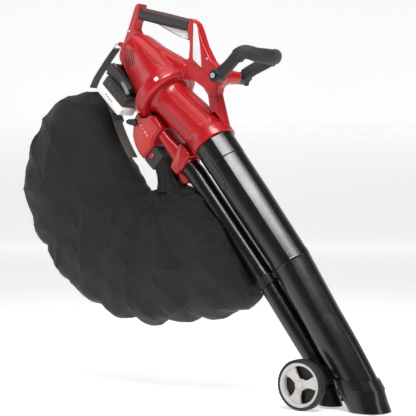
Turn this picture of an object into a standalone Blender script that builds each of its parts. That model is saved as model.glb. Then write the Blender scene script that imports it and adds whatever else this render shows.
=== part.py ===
# Cordless garden blower and vacuum with a leaf bag, two battery packs and ground wheels.
# The machine stands in its working lean: +X points to the nozzle, +Z is up, +Y is its left side.
# The origin is the middle of the rear hand grip. Everything is in metres.

import bmesh
import bpy
from math import cos, pi, radians, sin
from mathutils import Matrix, Vector

# ---------------------------------------------------------------- driving dimensions

GAP = 0.0003                 # clearance between pieces that touch
WALL = 0.0028                # moulded housing wall
TUBE_WALL = 0.0024           # wall of the suction and blow tubes
RUNNING = 0.0006             # clearance round a turning piece
SIDES = 24                   # facets round a tube
SMALL_SIDES = 16             # facets round a small round piece

GROUND = -0.983              # height of the ground under the grip

FAN_CENTRE = Vector((0.0238, 0, -0.2144))
FAN_LEAN = radians(46.0)     # motor and fan axis, from the vertical
FAN_RADIUS = 0.088
FAN_BACK = -0.052            # fan casing, along the fan axis
FAN_FRONT = -0.012
FAN_SEAM = -0.038             # where its two halves meet
FAN_ROUND = 0.014            # rounding of the casing's front rim
FAN_EDGE = 0.005             # and of its back rim

IMPELLER_RADIUS = 0.076
IMPELLER_BACK = -0.046
IMPELLER_FRONT = -0.020
BLADE_COUNT = 10
BLADE_THICK = 0.003
MOTOR_RADIUS = 0.030
MOTOR_BACK = -0.160
MOTOR_FRONT = -0.062
SHAFT_RADIUS = 0.005
BEARING_RADIUS = 0.013
BEARING_LENGTH = 0.009

TUBE_LEAN = radians(38.4)    # upper suction tube
TUBE_ORIGIN = Vector((0.0506, 0, -0.1919))
TUBE_START = 0.166           # its upper end, below that origin
TUBE_JOINT = 0.562           # where the lower tube takes over
TUBE_TOP_RADIUS = 0.0530
TUBE_JOINT_RADIUS = 0.0500
LOWER_LEAN = radians(33.7)   # lower suction tube
TUBE_LOW_RADIUS = 0.0465
NOZZLE_TOP = -0.905          # height of the nozzle's collar
NOZZLE_HALF_DEPTH = 0.048
NOZZLE_HALF_WIDTH = 0.051
NOZZLE_CENTRE_X = 0.6220
NOZZLE_LIFT = 0.002           # the mouth rides just above the ground

COLLAR_START = 0.150         # tube collar, along the upper tube's axis
COLLAR_LENGTH = 0.030
COLLAR_RADIUS = 0.0600
CONE_TOP_RADIUS = 0.0500     # intake cone at the fan casing
CONE_LOW_RADIUS = 0.0560
RIB_COUNT = 9
RIB_HIGH = 0.0035
RIB_WIDE = 0.0045
RIB_SUNK = 0.0008            # how deep a rib's middle lies in the wall
RIB_SPREAD = radians(150)    # the ribs run this far round to each side
RIB_SHARES = (0.09, 0.92)    # and along the cone between these shares of it

BLOW_RADIUS = 0.0265
BLOW_TOP = Vector((0.090, 0, -0.394))
BLOW_MIDDLE = Vector((0.328, 0, -0.683))
BLOW_LOW = Vector((0.461, 0, -0.860))
BLOW_END_X = 0.512
BLOW_END_LIFT = 0.006

HANDLE_HALF = 0.0150         # half width of the handle posts
GRIP_LEFT = Vector((-0.078, 0, 0.0215))
GRIP_RIGHT = Vector((0.086, 0, -0.0215))
GRIP_HALF_HIGH = 0.0165
GRIP_HALF_WIDE = 0.0170
GRIP_SLEEVE = 0.0040         # soft layer on the grip

AUX_PIVOT = Vector((0.205, 0, -0.161))
AUX_HUB_RADIUS = 0.0170
AUX_HUB_HALF = 0.0365
AUX_TUBE_RADIUS = 0.0138
AUX_SLEEVE = 0.0022          # soft layer on the second handle
AUX_ARM_HALF = 0.0520        # arm's distance from the middle at the pivot
AUX_FACE = 0.0665            # outer face of the arms' bosses
AUX_GRIP_HALF = 0.0760
AUX_REACH = Vector((0.095, 0, 0.053))
AUX_BOW = 0.030              # the grip's forward bow
AUX_BOLT_RADIUS = 0.0040
KNOB_RADIUS = 0.0200
KNOB_THICK = 0.0150

WHEEL_RADIUS = 0.0620
WHEEL_WIDTH = 0.0260
WHEEL_X = 0.4760
WHEEL_SIDE = 0.0780          # middle of a wheel, from the middle plane
HUB_RADIUS = 0.0545
AXLE_RADIUS = 0.0050

DUCT_HALF = 0.0430           # half width of the outlet duct
ADAPTOR_START = 0.0620       # bag adaptor, along the fan axis
ADAPTOR_END = 0.1010
ADAPTOR_BACK = -0.1575
ADAPTOR_FORE = -0.1095
ADAPTOR_HALF = 0.0370

BAG_WALL = 0.0012
PACK_LENGTH = 0.096
PACK_WIDE = 0.062
PACK_HIGH = 0.054
PACK_SIDE = 0.0480           # middle of a pack, from the middle plane

STRAP_WIDE = 0.036
STRAP_THICK = 0.0024
SHOULDER_HALF = 0.0150       # narrow enough for the packs to slide past

# ---------------------------------------------------------------- scene and materials

for old in list(bpy.data.objects):
    bpy.data.objects.remove(old, do_unlink=True)


def make_collection(name):
    collection = bpy.data.collections.new(name)
    bpy.context.scene.collection.children.link(collection)
    return collection


parts = make_collection("leaf_blower")
cutters = make_collection("cutters")

SIDE = Vector((0, 1, 0))


def make_material(name, colour, roughness, metallic=0.0):
    material = bpy.data.materials.new(name)
    material.use_nodes = True
    shader = material.node_tree.nodes["Principled BSDF"]
    shader.inputs["Base Color"].default_value = (*colour, 1)
    shader.inputs["Roughness"].default_value = roughness
    shader.inputs["Metallic"].default_value = metallic
    material.diffuse_color = (*colour, 1)
    return material


red = make_material("red_shell", (0.62, 0.01, 0.015), 0.35)
black = make_material("black_tube", (0.012, 0.012, 0.014), 0.28)
soft_black = make_material("soft_grip", (0.03, 0.03, 0.032), 0.75)
dark_grey = make_material("dark_grey_plastic", (0.09, 0.08, 0.085), 0.5)
light_grey = make_material("light_grey_plastic", (0.58, 0.57, 0.57), 0.45)
pale = make_material("pack_case", (0.62, 0.6, 0.6), 0.5)
cloth = make_material("bag_cloth", (0.035, 0.035, 0.034), 0.9)
webbing = make_material("webbing", (0.05, 0.045, 0.043), 0.85)
rubber = make_material("tyre_rubber", (0.015, 0.015, 0.016), 0.8)
steel = make_material("steel", (0.5, 0.5, 0.5), 0.35, 1.0)
copper = make_material("motor_metal", (0.4, 0.38, 0.36), 0.4, 1.0)
green = make_material("board", (0.02, 0.12, 0.05), 0.5)

# ---------------------------------------------------------------- tools


class Line:
    """A straight axis in the middle plane, leaning forward from the vertical."""

    def __init__(self, origin, lean):
        self.origin = Vector(origin)
        self.down = Vector((sin(lean), 0, -cos(lean)))
        self.fore = Vector((cos(lean), 0, sin(lean)))

    def at(self, along, fore=0.0, side=0.0):
        return self.origin + self.down * along + self.fore * fore + SIDE * side

    def matrix(self, along=0.0, fore=0.0, side=0.0):
        """Local +Z runs down the axis, local +X points fore, local +Y to the right."""
        turn = Matrix((self.fore, -SIDE, self.down)).transposed()
        return Matrix.Translation(self.at(along, fore, side)) @ turn.to_4x4()


def keep(thing, material, collection=parts):
    for old in list(thing.users_collection):
        old.objects.unlink(thing)
    collection.objects.link(thing)
    if material:
        thing.data.materials.clear()
        thing.data.materials.append(material)
    return thing


def as_cutter(thing):
    keep(thing, None, cutters)
    thing.hide_render = True
    thing.display_type = "WIRE"
    return thing


def mesh_object(name, points, faces, material, smooth=True):
    mesh = bpy.data.meshes.new(name)
    mesh.from_pydata([tuple(p) for p in points], [], faces)
    work = bmesh.new()
    work.from_mesh(mesh)
    bmesh.ops.remove_doubles(work, verts=work.verts, dist=1e-6)
    bmesh.ops.recalc_face_normals(work, faces=work.faces)
    work.to_mesh(mesh)
    work.free()
    thing = bpy.data.objects.new(name, mesh)
    parts.objects.link(thing)
    mesh.materials.append(material)
    if smooth:
        mesh.shade_smooth()
        mesh.set_sharp_from_angle(angle=radians(38))
    return thing


def section(centre, first, second, half_first, half_second, power=2.0, count=SIDES):
    """A closed ring of points on a superellipse in the plane of two unit directions."""
    ring = []
    for k in range(count):
        turn = 2 * pi * (k + 0.5) / count
        c, s = cos(turn), sin(turn)
        a = half_first * abs(c) ** (2 / power) * (1 if c > 0 else -1)
        b = half_second * abs(s) ** (2 / power) * (1 if s > 0 else -1)
        ring.append(centre + first * a + second * b)
    return ring


def loft(name, rings, material, looped=False):
    """Joins rings of equal count. Its ends are closed, or join each other when looped."""
    count = len(rings[0])
    points = [p for ring in rings for p in ring]
    faces = []
    for r in range(len(rings) if looped else len(rings) - 1):
        here = r * count
        there = ((r + 1) % len(rings)) * count
        for k in range(count):
            n = (k + 1) % count
            faces.append((here + k, here + n, there + n, there + k))
    if not looped:
        faces.append(tuple(reversed(range(count))))
        faces.append(tuple(range(len(points) - count, len(points))))
    return mesh_object(name, points, faces, material)


def pipe(name, outer, inner, material):
    """An open pipe between an outer and an inner row of rings."""
    return loft(name, outer + inner[::-1], material, looped=True)


def turned(name, profile, place, material, sides=SIDES):
    """A closed outline of (radius, along) turned round local Z and put in place."""
    points = []
    for radius, along in profile:
        points.append([Vector((radius * cos(2 * pi * k / sides), radius * sin(2 * pi * k / sides), along))
                       for k in range(sides)])
    touches_axis = min(radius for radius, _ in profile) < 1e-6
    if touches_axis:
        rings = [ring for ring, (radius, _) in zip(points, profile) if radius > 1e-6]
        thing = loft(name, rings, material)
    else:
        thing = loft(name, points, material, looped=True)
    thing.data.transform(place)
    thing.data.update()
    return thing


def rod(name, start, end, radius, material, sides=SMALL_SIDES):
    along = (end - start).normalized()
    first = along.orthogonal().normalized()
    second = along.cross(first)
    rings = [section(p, first, second, radius, radius, 2.0, sides) for p in (start, end)]
    return loft(name, rings, material)


def box(name, low, high, place, material):
    """A box between two corners in a local frame."""
    bpy.ops.mesh.primitive_cube_add(size=1.0)
    thing = bpy.context.object
    thing.name = name
    thing.data.name = name
    size = Vector(high) - Vector(low)
    middle = (Vector(high) + Vector(low)) / 2
    thing.data.transform(Matrix.Translation(middle) @ Matrix.Diagonal((*size, 1)))
    thing.data.transform(place)
    return keep(thing, material)


def plate(name, outline, low, high, material, place=None, holes=()):
    """A flat outline of (x, z) points filled and drawn out from y = low to y = high."""
    curve = bpy.data.curves.new(name, "CURVE")
    curve.dimensions = "2D"
    curve.fill_mode = "BOTH"
    curve.extrude = (high - low) / 2
    for loop in (outline, *holes):
        spline = curve.splines.new("POLY")
        spline.points.add(len(loop) - 1)
        spline.points.foreach_set("co", [v for p in loop for v in (p[0], p[1], 0, 1)])
        spline.use_cyclic_u = True
    guide = bpy.data.objects.new(name, curve)
    bpy.context.scene.collection.objects.link(guide)
    stand = Matrix.Translation((0, (low + high) / 2, 0)) @ Matrix.Rotation(radians(90), 4, "X")
    guide.matrix_world = (place or Matrix()) @ stand
    bpy.context.view_layer.update()
    evaluated = guide.evaluated_get(bpy.context.evaluated_depsgraph_get())
    mesh = bpy.data.meshes.new_from_object(evaluated)
    work = bmesh.new()
    work.from_mesh(mesh)
    bmesh.ops.remove_doubles(work, verts=work.verts, dist=1e-6)
    bmesh.ops.recalc_face_normals(work, faces=work.faces)
    work.to_mesh(mesh)
    work.free()
    mesh.transform(guide.matrix_world)
    bpy.data.objects.remove(guide, do_unlink=True)
    thing = bpy.data.objects.new(name, mesh)
    parts.objects.link(thing)
    mesh.materials.clear()
    mesh.materials.append(material)
    return thing


def boolean(thing, other, operation):
    modifier = thing.modifiers.new(operation.lower(), "BOOLEAN")
    modifier.operation = operation
    modifier.object = as_cutter(other)
    return thing


def cut(thing, *others):
    for other in others:
        boolean(thing, other, "DIFFERENCE")
    return thing


def unite(thing, *others):
    for other in others:
        boolean(thing, other, "UNION")
    return thing


def half_space(name, sign):
    """A block that covers everything on one side of the middle plane."""
    edge = GAP / 2
    far = 1.0
    low, high = (-edge, far) if sign > 0 else (-far, edge)
    return box(name, (-1, low, -1.5), (1, high, 0.5), Matrix(), None)


def smooth_row(points, count):
    """A Catmull-Rom curve through the points."""
    rows = [points[0] * 2 - points[1]] + list(points) + [points[-1] * 2 - points[-2]]
    out = []
    for k in range(count):
        t = k * (len(points) - 1) / (count - 1)
        i = min(int(t), len(points) - 2)
        u = t - i
        a, b, c, d = rows[i:i + 4]
        out.append(0.5 * (2 * b + (c - a) * u + (2 * a - 5 * b + 4 * c - d) * u ** 2
                          + (3 * b - a - 3 * c + d) * u ** 3))
    return out


fan = Line(FAN_CENTRE, FAN_LEAN)
tube = Line(TUBE_ORIGIN, TUBE_LEAN)
joint_point = tube.at(TUBE_JOINT)
lower = Line(joint_point, LOWER_LEAN)

# ---------------------------------------------------------------- motor housing and fan casing

# Stations of the motor housing along the fan axis: along, low, high, half width.
HOUSING = ((-0.205, -0.018, 0.054, 0.038), (-0.190, -0.034, 0.066, 0.048),
           (-0.120, -0.046, 0.080, 0.062), (FAN_BACK - GAP, -0.061, 0.084, 0.079))
HOUSING_POWER = 2.3


def housing_rings(inset, axial=0.0):
    rings = []
    for along, low, high, half in HOUSING:
        centre = fan.at(along + (axial if along < -0.2 else 0), (low + high) / 2)
        rings.append(section(centre, fan.fore, SIDE, (high - low) / 2 - inset, half - inset, HOUSING_POWER, 32))
    return rings


def housing_solid(name, inset, extra=0.0):
    rings = housing_rings(inset, axial=max(inset, 0) * 1.5 + extra)
    if inset > 0:
        rings.append([p + fan.down * 0.05 for p in rings[-1]])
    return loft(name, rings, red)


def make_housing():
    for name, sign in (("motor_housing_right", -1), ("motor_housing_left", 1)):
        half = housing_solid(name, 0)
        cut(half, housing_solid(name + "_inside", WALL), half_space(name + "_far", -sign))
        for k in range(5):
            slot = box(f"{name}_vent_{k}", (-0.0015, -0.02, -0.024), (0.0015, 0.02, 0.024),
                       fan.matrix(-0.176 + k * 0.0085, 0.014 + k * 0.001, sign * 0.050)
                       @ Matrix.Rotation(radians(90), 4, "Y"), None)
            cut(half, slot)


def make_fan_casing():
    inner = FAN_RADIUS - WALL
    seam = FAN_SEAM
    rear = [(MOTOR_RADIUS * 0.55, FAN_BACK), (FAN_RADIUS - FAN_EDGE, FAN_BACK),
            (FAN_RADIUS, FAN_BACK + FAN_EDGE), (FAN_RADIUS, seam - GAP / 2), (inner, seam - GAP / 2),
            (inner, FAN_BACK + FAN_EDGE), (inner - FAN_EDGE, FAN_BACK + WALL),
            (MOTOR_RADIUS * 0.55, FAN_BACK + WALL)]
    front = [(CONE_TOP_RADIUS - WALL, FAN_FRONT - WALL), (inner - FAN_ROUND * 0.6, FAN_FRONT - WALL),
             (inner, FAN_FRONT - FAN_ROUND), (inner, seam + GAP / 2), (FAN_RADIUS, seam + GAP / 2),
             (FAN_RADIUS, FAN_FRONT - FAN_ROUND), (FAN_RADIUS - FAN_ROUND * 0.3, FAN_FRONT - FAN_ROUND * 0.3),
             (FAN_RADIUS - FAN_ROUND, FAN_FRONT), (CONE_TOP_RADIUS - WALL, FAN_FRONT)]
    back_half = turned("fan_casing_rear", rear, fan.matrix(), red, 40)
    front_half = turned("fan_casing_front", front, fan.matrix(), red, 40)
    low, high = -FAN_RADIUS - 0.01, -FAN_RADIUS + 0.045
    mouth = (FAN_BACK + 0.010, FAN_FRONT - 0.008)
    for half in (back_half, front_half):
        cut(half, fan_block(half.name + "_mouth", mouth, (low, high), DUCT_HALF - WALL * 2))
    return back_half, front_half


def fan_block(name, along, fore, half, material=None):
    """A block given along the fan axis, fore of it, and by its half width."""
    outline = [(along[0], fore[0]), (along[1], fore[0]), (along[1], fore[1]), (along[0], fore[1])]
    return plate(name, [flat(a, f) for a, f in outline], -half, half, material or red)


def flat(along, fore, line=None):
    point = (line or fan).at(along, fore)
    return point.x, point.z


def make_drive():
    m = fan.matrix()
    turned("motor_can", [(0, MOTOR_BACK), (MOTOR_RADIUS, MOTOR_BACK), (MOTOR_RADIUS, MOTOR_FRONT),
                         (BEARING_RADIUS + GAP, MOTOR_FRONT), (BEARING_RADIUS + GAP, MOTOR_FRONT - BEARING_LENGTH),
                         (SHAFT_RADIUS + RUNNING, MOTOR_FRONT - BEARING_LENGTH),
                         (SHAFT_RADIUS + RUNNING, MOTOR_BACK + 0.030), (0, MOTOR_BACK + 0.030)], m, copper)
    race = [(SHAFT_RADIUS + RUNNING, MOTOR_FRONT), (BEARING_RADIUS, MOTOR_FRONT),
            (BEARING_RADIUS, MOTOR_FRONT - BEARING_LENGTH + GAP),
            (SHAFT_RADIUS + RUNNING, MOTOR_FRONT - BEARING_LENGTH + GAP)]
    turned("shaft_bearing", race, m, steel, SMALL_SIDES)
    turned("motor_shaft", [(0, MOTOR_BACK + 0.031), (SHAFT_RADIUS, MOTOR_BACK + 0.031),
                           (SHAFT_RADIUS, IMPELLER_FRONT + 0.002), (0, IMPELLER_FRONT + 0.002)], m, steel,
           SMALL_SIDES)
    hub = 0.016
    plate_thick = 0.003
    wheel = turned("impeller", [(SHAFT_RADIUS + GAP, IMPELLER_BACK), (IMPELLER_RADIUS, IMPELLER_BACK),
                                (IMPELLER_RADIUS, IMPELLER_BACK + plate_thick),
                                (hub, IMPELLER_BACK + plate_thick), (hub, IMPELLER_FRONT - 0.004),
                                (SHAFT_RADIUS + GAP, IMPELLER_FRONT - 0.004)], m, black, 32)
    for k in range(BLADE_COUNT):
        blade = box(f"blade_{k}", (hub - 0.002, -BLADE_THICK / 2, IMPELLER_BACK + plate_thick / 2),
                    (IMPELLER_RADIUS - 0.004, BLADE_THICK / 2, IMPELLER_FRONT - 0.006),
                    m @ Matrix.Rotation(2 * pi * k / BLADE_COUNT, 4, "Z"), black)
        unite(wheel, blade)
    nut = rod("impeller_nut", fan.at(IMPELLER_FRONT - 0.0037), fan.at(IMPELLER_FRONT), 0.0090, steel, 6)
    cut(nut, rod("impeller_nut_bore", fan.at(IMPELLER_FRONT - 0.01), fan.at(IMPELLER_FRONT + 0.01),
                 SHAFT_RADIUS + GAP, steel))
    box("control_board", (-0.018, -0.024, -0.186), (0.018, 0.024, -0.184), fan.matrix(0, 0.014), green)


# ---------------------------------------------------------------- intake, ducts and bag adaptor


def intake_place(share):
    """Centre, fore direction and radius of the cone, from square to the fan to square to the tube."""
    lean = FAN_LEAN + (TUBE_LEAN - FAN_LEAN) * share
    centre = fan.at(FAN_FRONT + GAP).lerp(tube.at(COLLAR_START - GAP), share)
    radius = CONE_TOP_RADIUS + (CONE_LOW_RADIUS - CONE_TOP_RADIUS) * share
    return centre, Vector((cos(lean), 0, sin(lean))), radius


def intake_rings(grow):
    rings = []
    for k in range(6):
        centre, fore, radius = intake_place(k / 5)
        rings.append(section(centre, fore, SIDE, radius + grow, radius + grow, 2.0, 36))
    return rings


def intake_solid(name, grow):
    """The cone as a solid that runs on past both ends."""
    rings = intake_rings(grow)
    first = [p - fan.down * 0.02 for p in rings[0]]
    last = [p + tube.down * 0.02 for p in rings[-1]]
    return loft(name, [first, *rings, last], red)


def make_intake():
    cone = pipe("intake_cone", intake_rings(0), intake_rings(-WALL), red)
    for k in range(RIB_COUNT):
        turn = RIB_SPREAD * (2 * k / (RIB_COUNT - 1) - 1)
        rings = []
        for share in RIB_SHARES:
            centre, fore, radius = intake_place(share)
            out = fore * cos(turn) + SIDE * sin(turn)
            wide = SIDE * cos(turn) - fore * sin(turn)
            rings.append(section(centre + out * (radius - RIB_SUNK), out, wide, RIB_HIGH, RIB_WIDE / 2, 2.0, 8))
        unite(cone, loft(f"rib_{k}", rings, red))


def make_collar():
    """A ring that closes the intake cone and takes the suction tube's upper end."""
    m = tube.matrix()
    end = COLLAR_START + COLLAR_LENGTH
    bore = TUBE_TOP_RADIUS + GAP
    collar = turned("tube_collar", [(COLLAR_RADIUS - 0.003, COLLAR_START), (COLLAR_RADIUS, COLLAR_START + 0.004),
                                    (COLLAR_RADIUS, end), (bore, end), (bore, COLLAR_START + 0.014),
                                    (CONE_LOW_RADIUS - WALL, COLLAR_START + 0.008),
                                    (CONE_LOW_RADIUS - WALL, COLLAR_START)], m, red, 32)
    return collar


BLOW_DUCT_START = 0.050

# Outline of the outlet duct along the fan axis and fore of it: it takes the fan's outlet at the
# top, and has the bag's mouth at its lower back corner and the blow duct's at its lower front.
DUCT_OUTLINE = ((-0.040, -0.066), (-0.036, -0.105), (-0.009, -0.138), (0.014, -0.150), (0.038, -0.1565),
                (ADAPTOR_START - GAP, -0.1575), (ADAPTOR_START - GAP, -0.1095),
                (BLOW_DUCT_START - GAP, -0.096), (BLOW_DUCT_START - GAP, -0.056), (0.010, -0.052))
BLOW_FORE = -0.0860          # middle of the blow duct's end, fore of the fan axis
BLOW_DUCT_HEAD = -0.0760     # and of its start
BLOW_DUCT_END = 0.166
CLAW_OUTLINE = ((0.138, -0.1100), (0.150, -0.118), (0.168, -0.130), (0.184, -0.129), (0.194, -0.118),
                (0.186, -0.107), (0.148, -0.107))
CLAW_HALF = 0.011


def inset_outline(outline, amount):
    """Moves each corner of a closed outline inwards."""
    points = [Vector(p) for p in outline]
    area = sum(a.x * b.y - b.x * a.y for a, b in zip(points, points[1:] + points[:1]))
    turn = 1 if area > 0 else -1
    out = []
    for k, here in enumerate(points):
        before = (here - points[k - 1]).normalized()
        after = (points[(k + 1) % len(points)] - here).normalized()
        normal_a = Vector((-before.y, before.x)) * turn
        normal_b = Vector((-after.y, after.x)) * turn
        middle = (normal_a + normal_b).normalized()
        out.append(here + middle * amount / max(middle.dot(normal_a), 0.5))
    return [tuple(p) for p in out]


def fan_cylinder(name, radius, beyond):
    """The round space of the fan casing, drawn out beyond both of its ends."""
    back, front = FAN_BACK - beyond, FAN_FRONT + beyond
    return turned(name, [(0, back), (radius, back), (radius, front), (0, front)], fan.matrix(), None, 40)


def blow_duct_rings(grow, start, end):
    rings = []
    steps = 5
    for k in range(steps):
        t = k / (steps - 1)
        along = start + (end - start) * t
        centre = fan.at(along, BLOW_DUCT_HEAD + (BLOW_FORE - BLOW_DUCT_HEAD) * t)
        half_fore = 0.016 + (BLOW_RADIUS + 0.003 - 0.016) * t + grow
        half_side = 0.034 + (BLOW_RADIUS + 0.003 - 0.034) * t + grow
        rings.append(section(centre, fan.fore, SIDE, half_fore, half_side, 3.2 - 1.2 * t))
    return rings


def make_ducts():
    duct = plate("outlet_duct", [flat(a, f) for a, f in DUCT_OUTLINE], -DUCT_HALF, DUCT_HALF, red)
    hollow = [flat(a, f) for a, f in inset_outline(DUCT_OUTLINE, WALL)]
    cut(duct, plate("outlet_duct_inside", hollow, -DUCT_HALF + WALL, DUCT_HALF - WALL, red),
        fan_cylinder("outlet_duct_fan", FAN_RADIUS + GAP, 0.05),
        fan_block("outlet_duct_to_bag", (ADAPTOR_START - 0.02, ADAPTOR_START + 0.02),
                  (ADAPTOR_BACK + 0.005, ADAPTOR_FORE - 0.005), ADAPTOR_HALF - 0.005),
        fan_block("outlet_duct_to_tube", (0.03, 0.08), (BLOW_DUCT_HEAD - 0.011, BLOW_DUCT_HEAD + 0.011), 0.027))
    start = BLOW_DUCT_START
    blow = pipe("blow_duct", blow_duct_rings(0, start, BLOW_DUCT_END),
                blow_duct_rings(-WALL, start, BLOW_DUCT_END), red)
    claw = plate("blow_duct_claw", [flat(a, f) for a, f in CLAW_OUTLINE], -CLAW_HALF, CLAW_HALF, red)
    cut(claw, loft("blow_duct_claw_room", blow_duct_rings(-WALL / 2, start, BLOW_DUCT_END + 0.001), red))
    unite(blow, claw)
    cut(blow, blow_solid("blow_duct_tube", GAP))


def make_adaptor():
    """A square collar that slides into the outlet duct's mouth and carries the bag."""
    outer = (ADAPTOR_START, ADAPTOR_END), (ADAPTOR_BACK, ADAPTOR_FORE)
    adaptor = fan_block("bag_adaptor", *outer, ADAPTOR_HALF, dark_grey)
    bore = fan_block("bag_adaptor_bore", (ADAPTOR_START - 0.01, ADAPTOR_END + 0.01),
                     (ADAPTOR_BACK + 0.005, ADAPTOR_FORE - 0.005), ADAPTOR_HALF - 0.005)
    place = Matrix.Translation(fan.at(0.073, -0.134, -ADAPTOR_HALF)) @ Matrix.Rotation(radians(90), 4, "X")
    hole = turned("button_hole", [(0, -0.02), (0.0082, -0.02), (0.0082, 0.02), (0, 0.02)], place, None,
                  SMALL_SIDES)
    cut(adaptor, bore, hole)
    turned("bag_release_button", [(0, 0.003), (0.0064, 0.003), (0.0076, 0.0016), (0.0076, -0.0040),
                                  (0, -0.0040)], place, red, SMALL_SIDES)


# ---------------------------------------------------------------- tubes


def tube_rings(stations, inset):
    return [section(centre, first, SIDE, half_first - inset, half_side - inset, power)
            for centre, first, half_first, half_side, power in stations]


def lower_length():
    return (joint_point.z - NOZZLE_TOP) / cos(LOWER_LEAN)


def make_suction_tube():
    top = tube.at(TUBE_START + GAP)
    upper = [(top, tube.fore, TUBE_TOP_RADIUS, TUBE_TOP_RADIUS, 2.0),
             (tube.at(TUBE_START + 0.2), tube.fore, TUBE_TOP_RADIUS, TUBE_TOP_RADIUS, 2.1),
             (joint_point - tube.down * GAP / 2, tube.fore, TUBE_JOINT_RADIUS, TUBE_JOINT_RADIUS, 2.2)]
    pipe("suction_tube_upper", tube_rings(upper, 0), tube_rings(upper, TUBE_WALL), black)
    length = lower_length()
    level = Vector((1, 0, 0))
    stretch = 1 / cos(LOWER_LEAN)
    low = [(joint_point + tube.down * GAP / 2, tube.fore, TUBE_JOINT_RADIUS, TUBE_JOINT_RADIUS, 2.2),
           (lower.at(length * 0.5), lower.fore, (TUBE_JOINT_RADIUS + TUBE_LOW_RADIUS) / 2,
            (TUBE_JOINT_RADIUS + TUBE_LOW_RADIUS) / 2, 2.3),
           (lower.at(length - GAP), level, TUBE_LOW_RADIUS * stretch, TUBE_LOW_RADIUS, 2.4)]
    pipe("suction_tube_lower", tube_rings(low, 0), tube_rings(low, TUBE_WALL), black)
    mouth = Vector((NOZZLE_CENTRE_X, 0, GROUND + NOZZLE_LIFT))
    collar = 0.024
    at_collar = lower.at(length).lerp(mouth, collar / (NOZZLE_TOP - GROUND))
    nozzle = [(lower.at(length), level, TUBE_LOW_RADIUS * stretch, TUBE_LOW_RADIUS + 0.001, 2.4),
              (at_collar, level, TUBE_LOW_RADIUS * stretch + 0.003, TUBE_LOW_RADIUS + 0.003, 2.5),
              (mouth, level, NOZZLE_HALF_DEPTH, NOZZLE_HALF_WIDTH, 2.6)]
    pipe("nozzle", tube_rings(nozzle, 0), tube_rings(nozzle, TUBE_WALL), black)


def across(direction):
    return Vector((-direction.z, 0, direction.x))


BLOW_DOWN = (BLOW_MIDDLE - BLOW_TOP).normalized()
BLOW_LOW_DOWN = (BLOW_LOW - BLOW_MIDDLE).normalized()
BLOW_MITRE = (BLOW_DOWN + BLOW_LOW_DOWN).normalized()
BLOW_END_DOWN = (BLOW_LOW_DOWN + Vector((0.25, 0, -1)).normalized()).normalized()


def blow_rows():
    """The blow tube from the duct to its open end: its upper rows, then its lower rows."""
    r = BLOW_RADIUS
    upper = [(fan.at(BLOW_DUCT_END + GAP, BLOW_FORE), fan.fore, r, r, 2.0),
             (BLOW_TOP + BLOW_DOWN * 0.02, across(BLOW_DOWN), r, r, 2.0),
             (BLOW_MIDDLE - BLOW_MITRE * GAP / 2, across(BLOW_MITRE), r, r, 2.0)]
    end = Vector((BLOW_END_X, 0, GROUND + BLOW_END_LIFT))
    low = [(BLOW_MIDDLE + BLOW_MITRE * GAP / 2, across(BLOW_MITRE), r, r, 2.0),
           (BLOW_LOW, across(BLOW_END_DOWN), r, r, 2.0),
           (end, Vector((1, 0, 0)), r * 1.15, r * 1.05, 2.2)]
    return upper, low


def make_blow_tube():
    upper, low = blow_rows()
    pipe("blow_tube_upper", tube_rings(upper, 0), tube_rings(upper, TUBE_WALL), black)
    pipe("blow_tube_lower", tube_rings(low, 0), tube_rings(low, TUBE_WALL), black)


# ---------------------------------------------------------------- handle, trigger and second handle

GRIP_DIR = (GRIP_RIGHT - GRIP_LEFT).normalized()
GRIP_UP = Vector((-GRIP_DIR.z, 0, GRIP_DIR.x))
GRIP_LENGTH = (GRIP_RIGHT - GRIP_LEFT).length

TRIGGER_PIVOT = Vector((-0.010, 0, -0.0045))
TRIGGER_TURN = radians(8)
TRIGGER_HALF = 0.0055
TRIGGER_PIN = 0.0020
TRIGGER_PIN_HALF = 0.0095
TRIGGER_OUTLINE = ((-0.018, 0.000), (-0.018, -0.012), (0.028, -0.036), (0.074, -0.0575), (0.080, -0.0575),
                   (0.081, -0.035), (0.040, -0.0155), (0.000, -0.0005))


def on_grip(along, up=0.0):
    point = GRIP_LEFT + GRIP_DIR * along + GRIP_UP * up
    return point.x, point.z


def rear_post():
    return [(-0.147, -0.092), (-0.130, -0.048), (-0.116, -0.016), (-0.098, 0.028), (-0.092, 0.042),
            (-0.083, 0.049), on_grip(0, 0.025), on_grip(0, -0.019), (-0.086, -0.002), (-0.091, -0.020),
            (-0.074, -0.042), (-0.070, -0.104), (-0.110, -0.120)]


def front_post():
    return [on_grip(GRIP_LENGTH, 0.0195), (0.102, -0.009), (0.112, -0.018), (0.120, -0.034), (0.135, -0.075),
            (0.160, -0.118), (0.180, -0.136), (0.205, -0.147), (0.214, -0.161), (0.205, -0.175),
            (0.184, -0.186), (0.179, -0.204), (0.204, -0.293), (0.209, -0.318),
            (0.180, -0.330), (0.161, -0.275), (0.149, -0.205), (0.134, -0.186), (0.104, -0.166),
            (0.060, -0.160), (0.050, -0.112), (0.087, -0.108), (0.0905, -0.075), (0.088, -0.046),
            on_grip(GRIP_LENGTH, -0.0190)]


def grip_rod(name, start, end, grow, material=None):
    rings = [section(GRIP_LEFT + GRIP_DIR * along, GRIP_UP, SIDE, GRIP_HALF_HIGH + grow, GRIP_HALF_WIDE + grow,
                     2.3, SIDES) for along in (start, end)]
    return loft(name, rings, material or red)


def pin_room(name):
    end = TRIGGER_PIN_HALF + GAP
    return cross_rod(name, TRIGGER_PIVOT, TRIGGER_PIN + GAP, -end, end, red)


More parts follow.
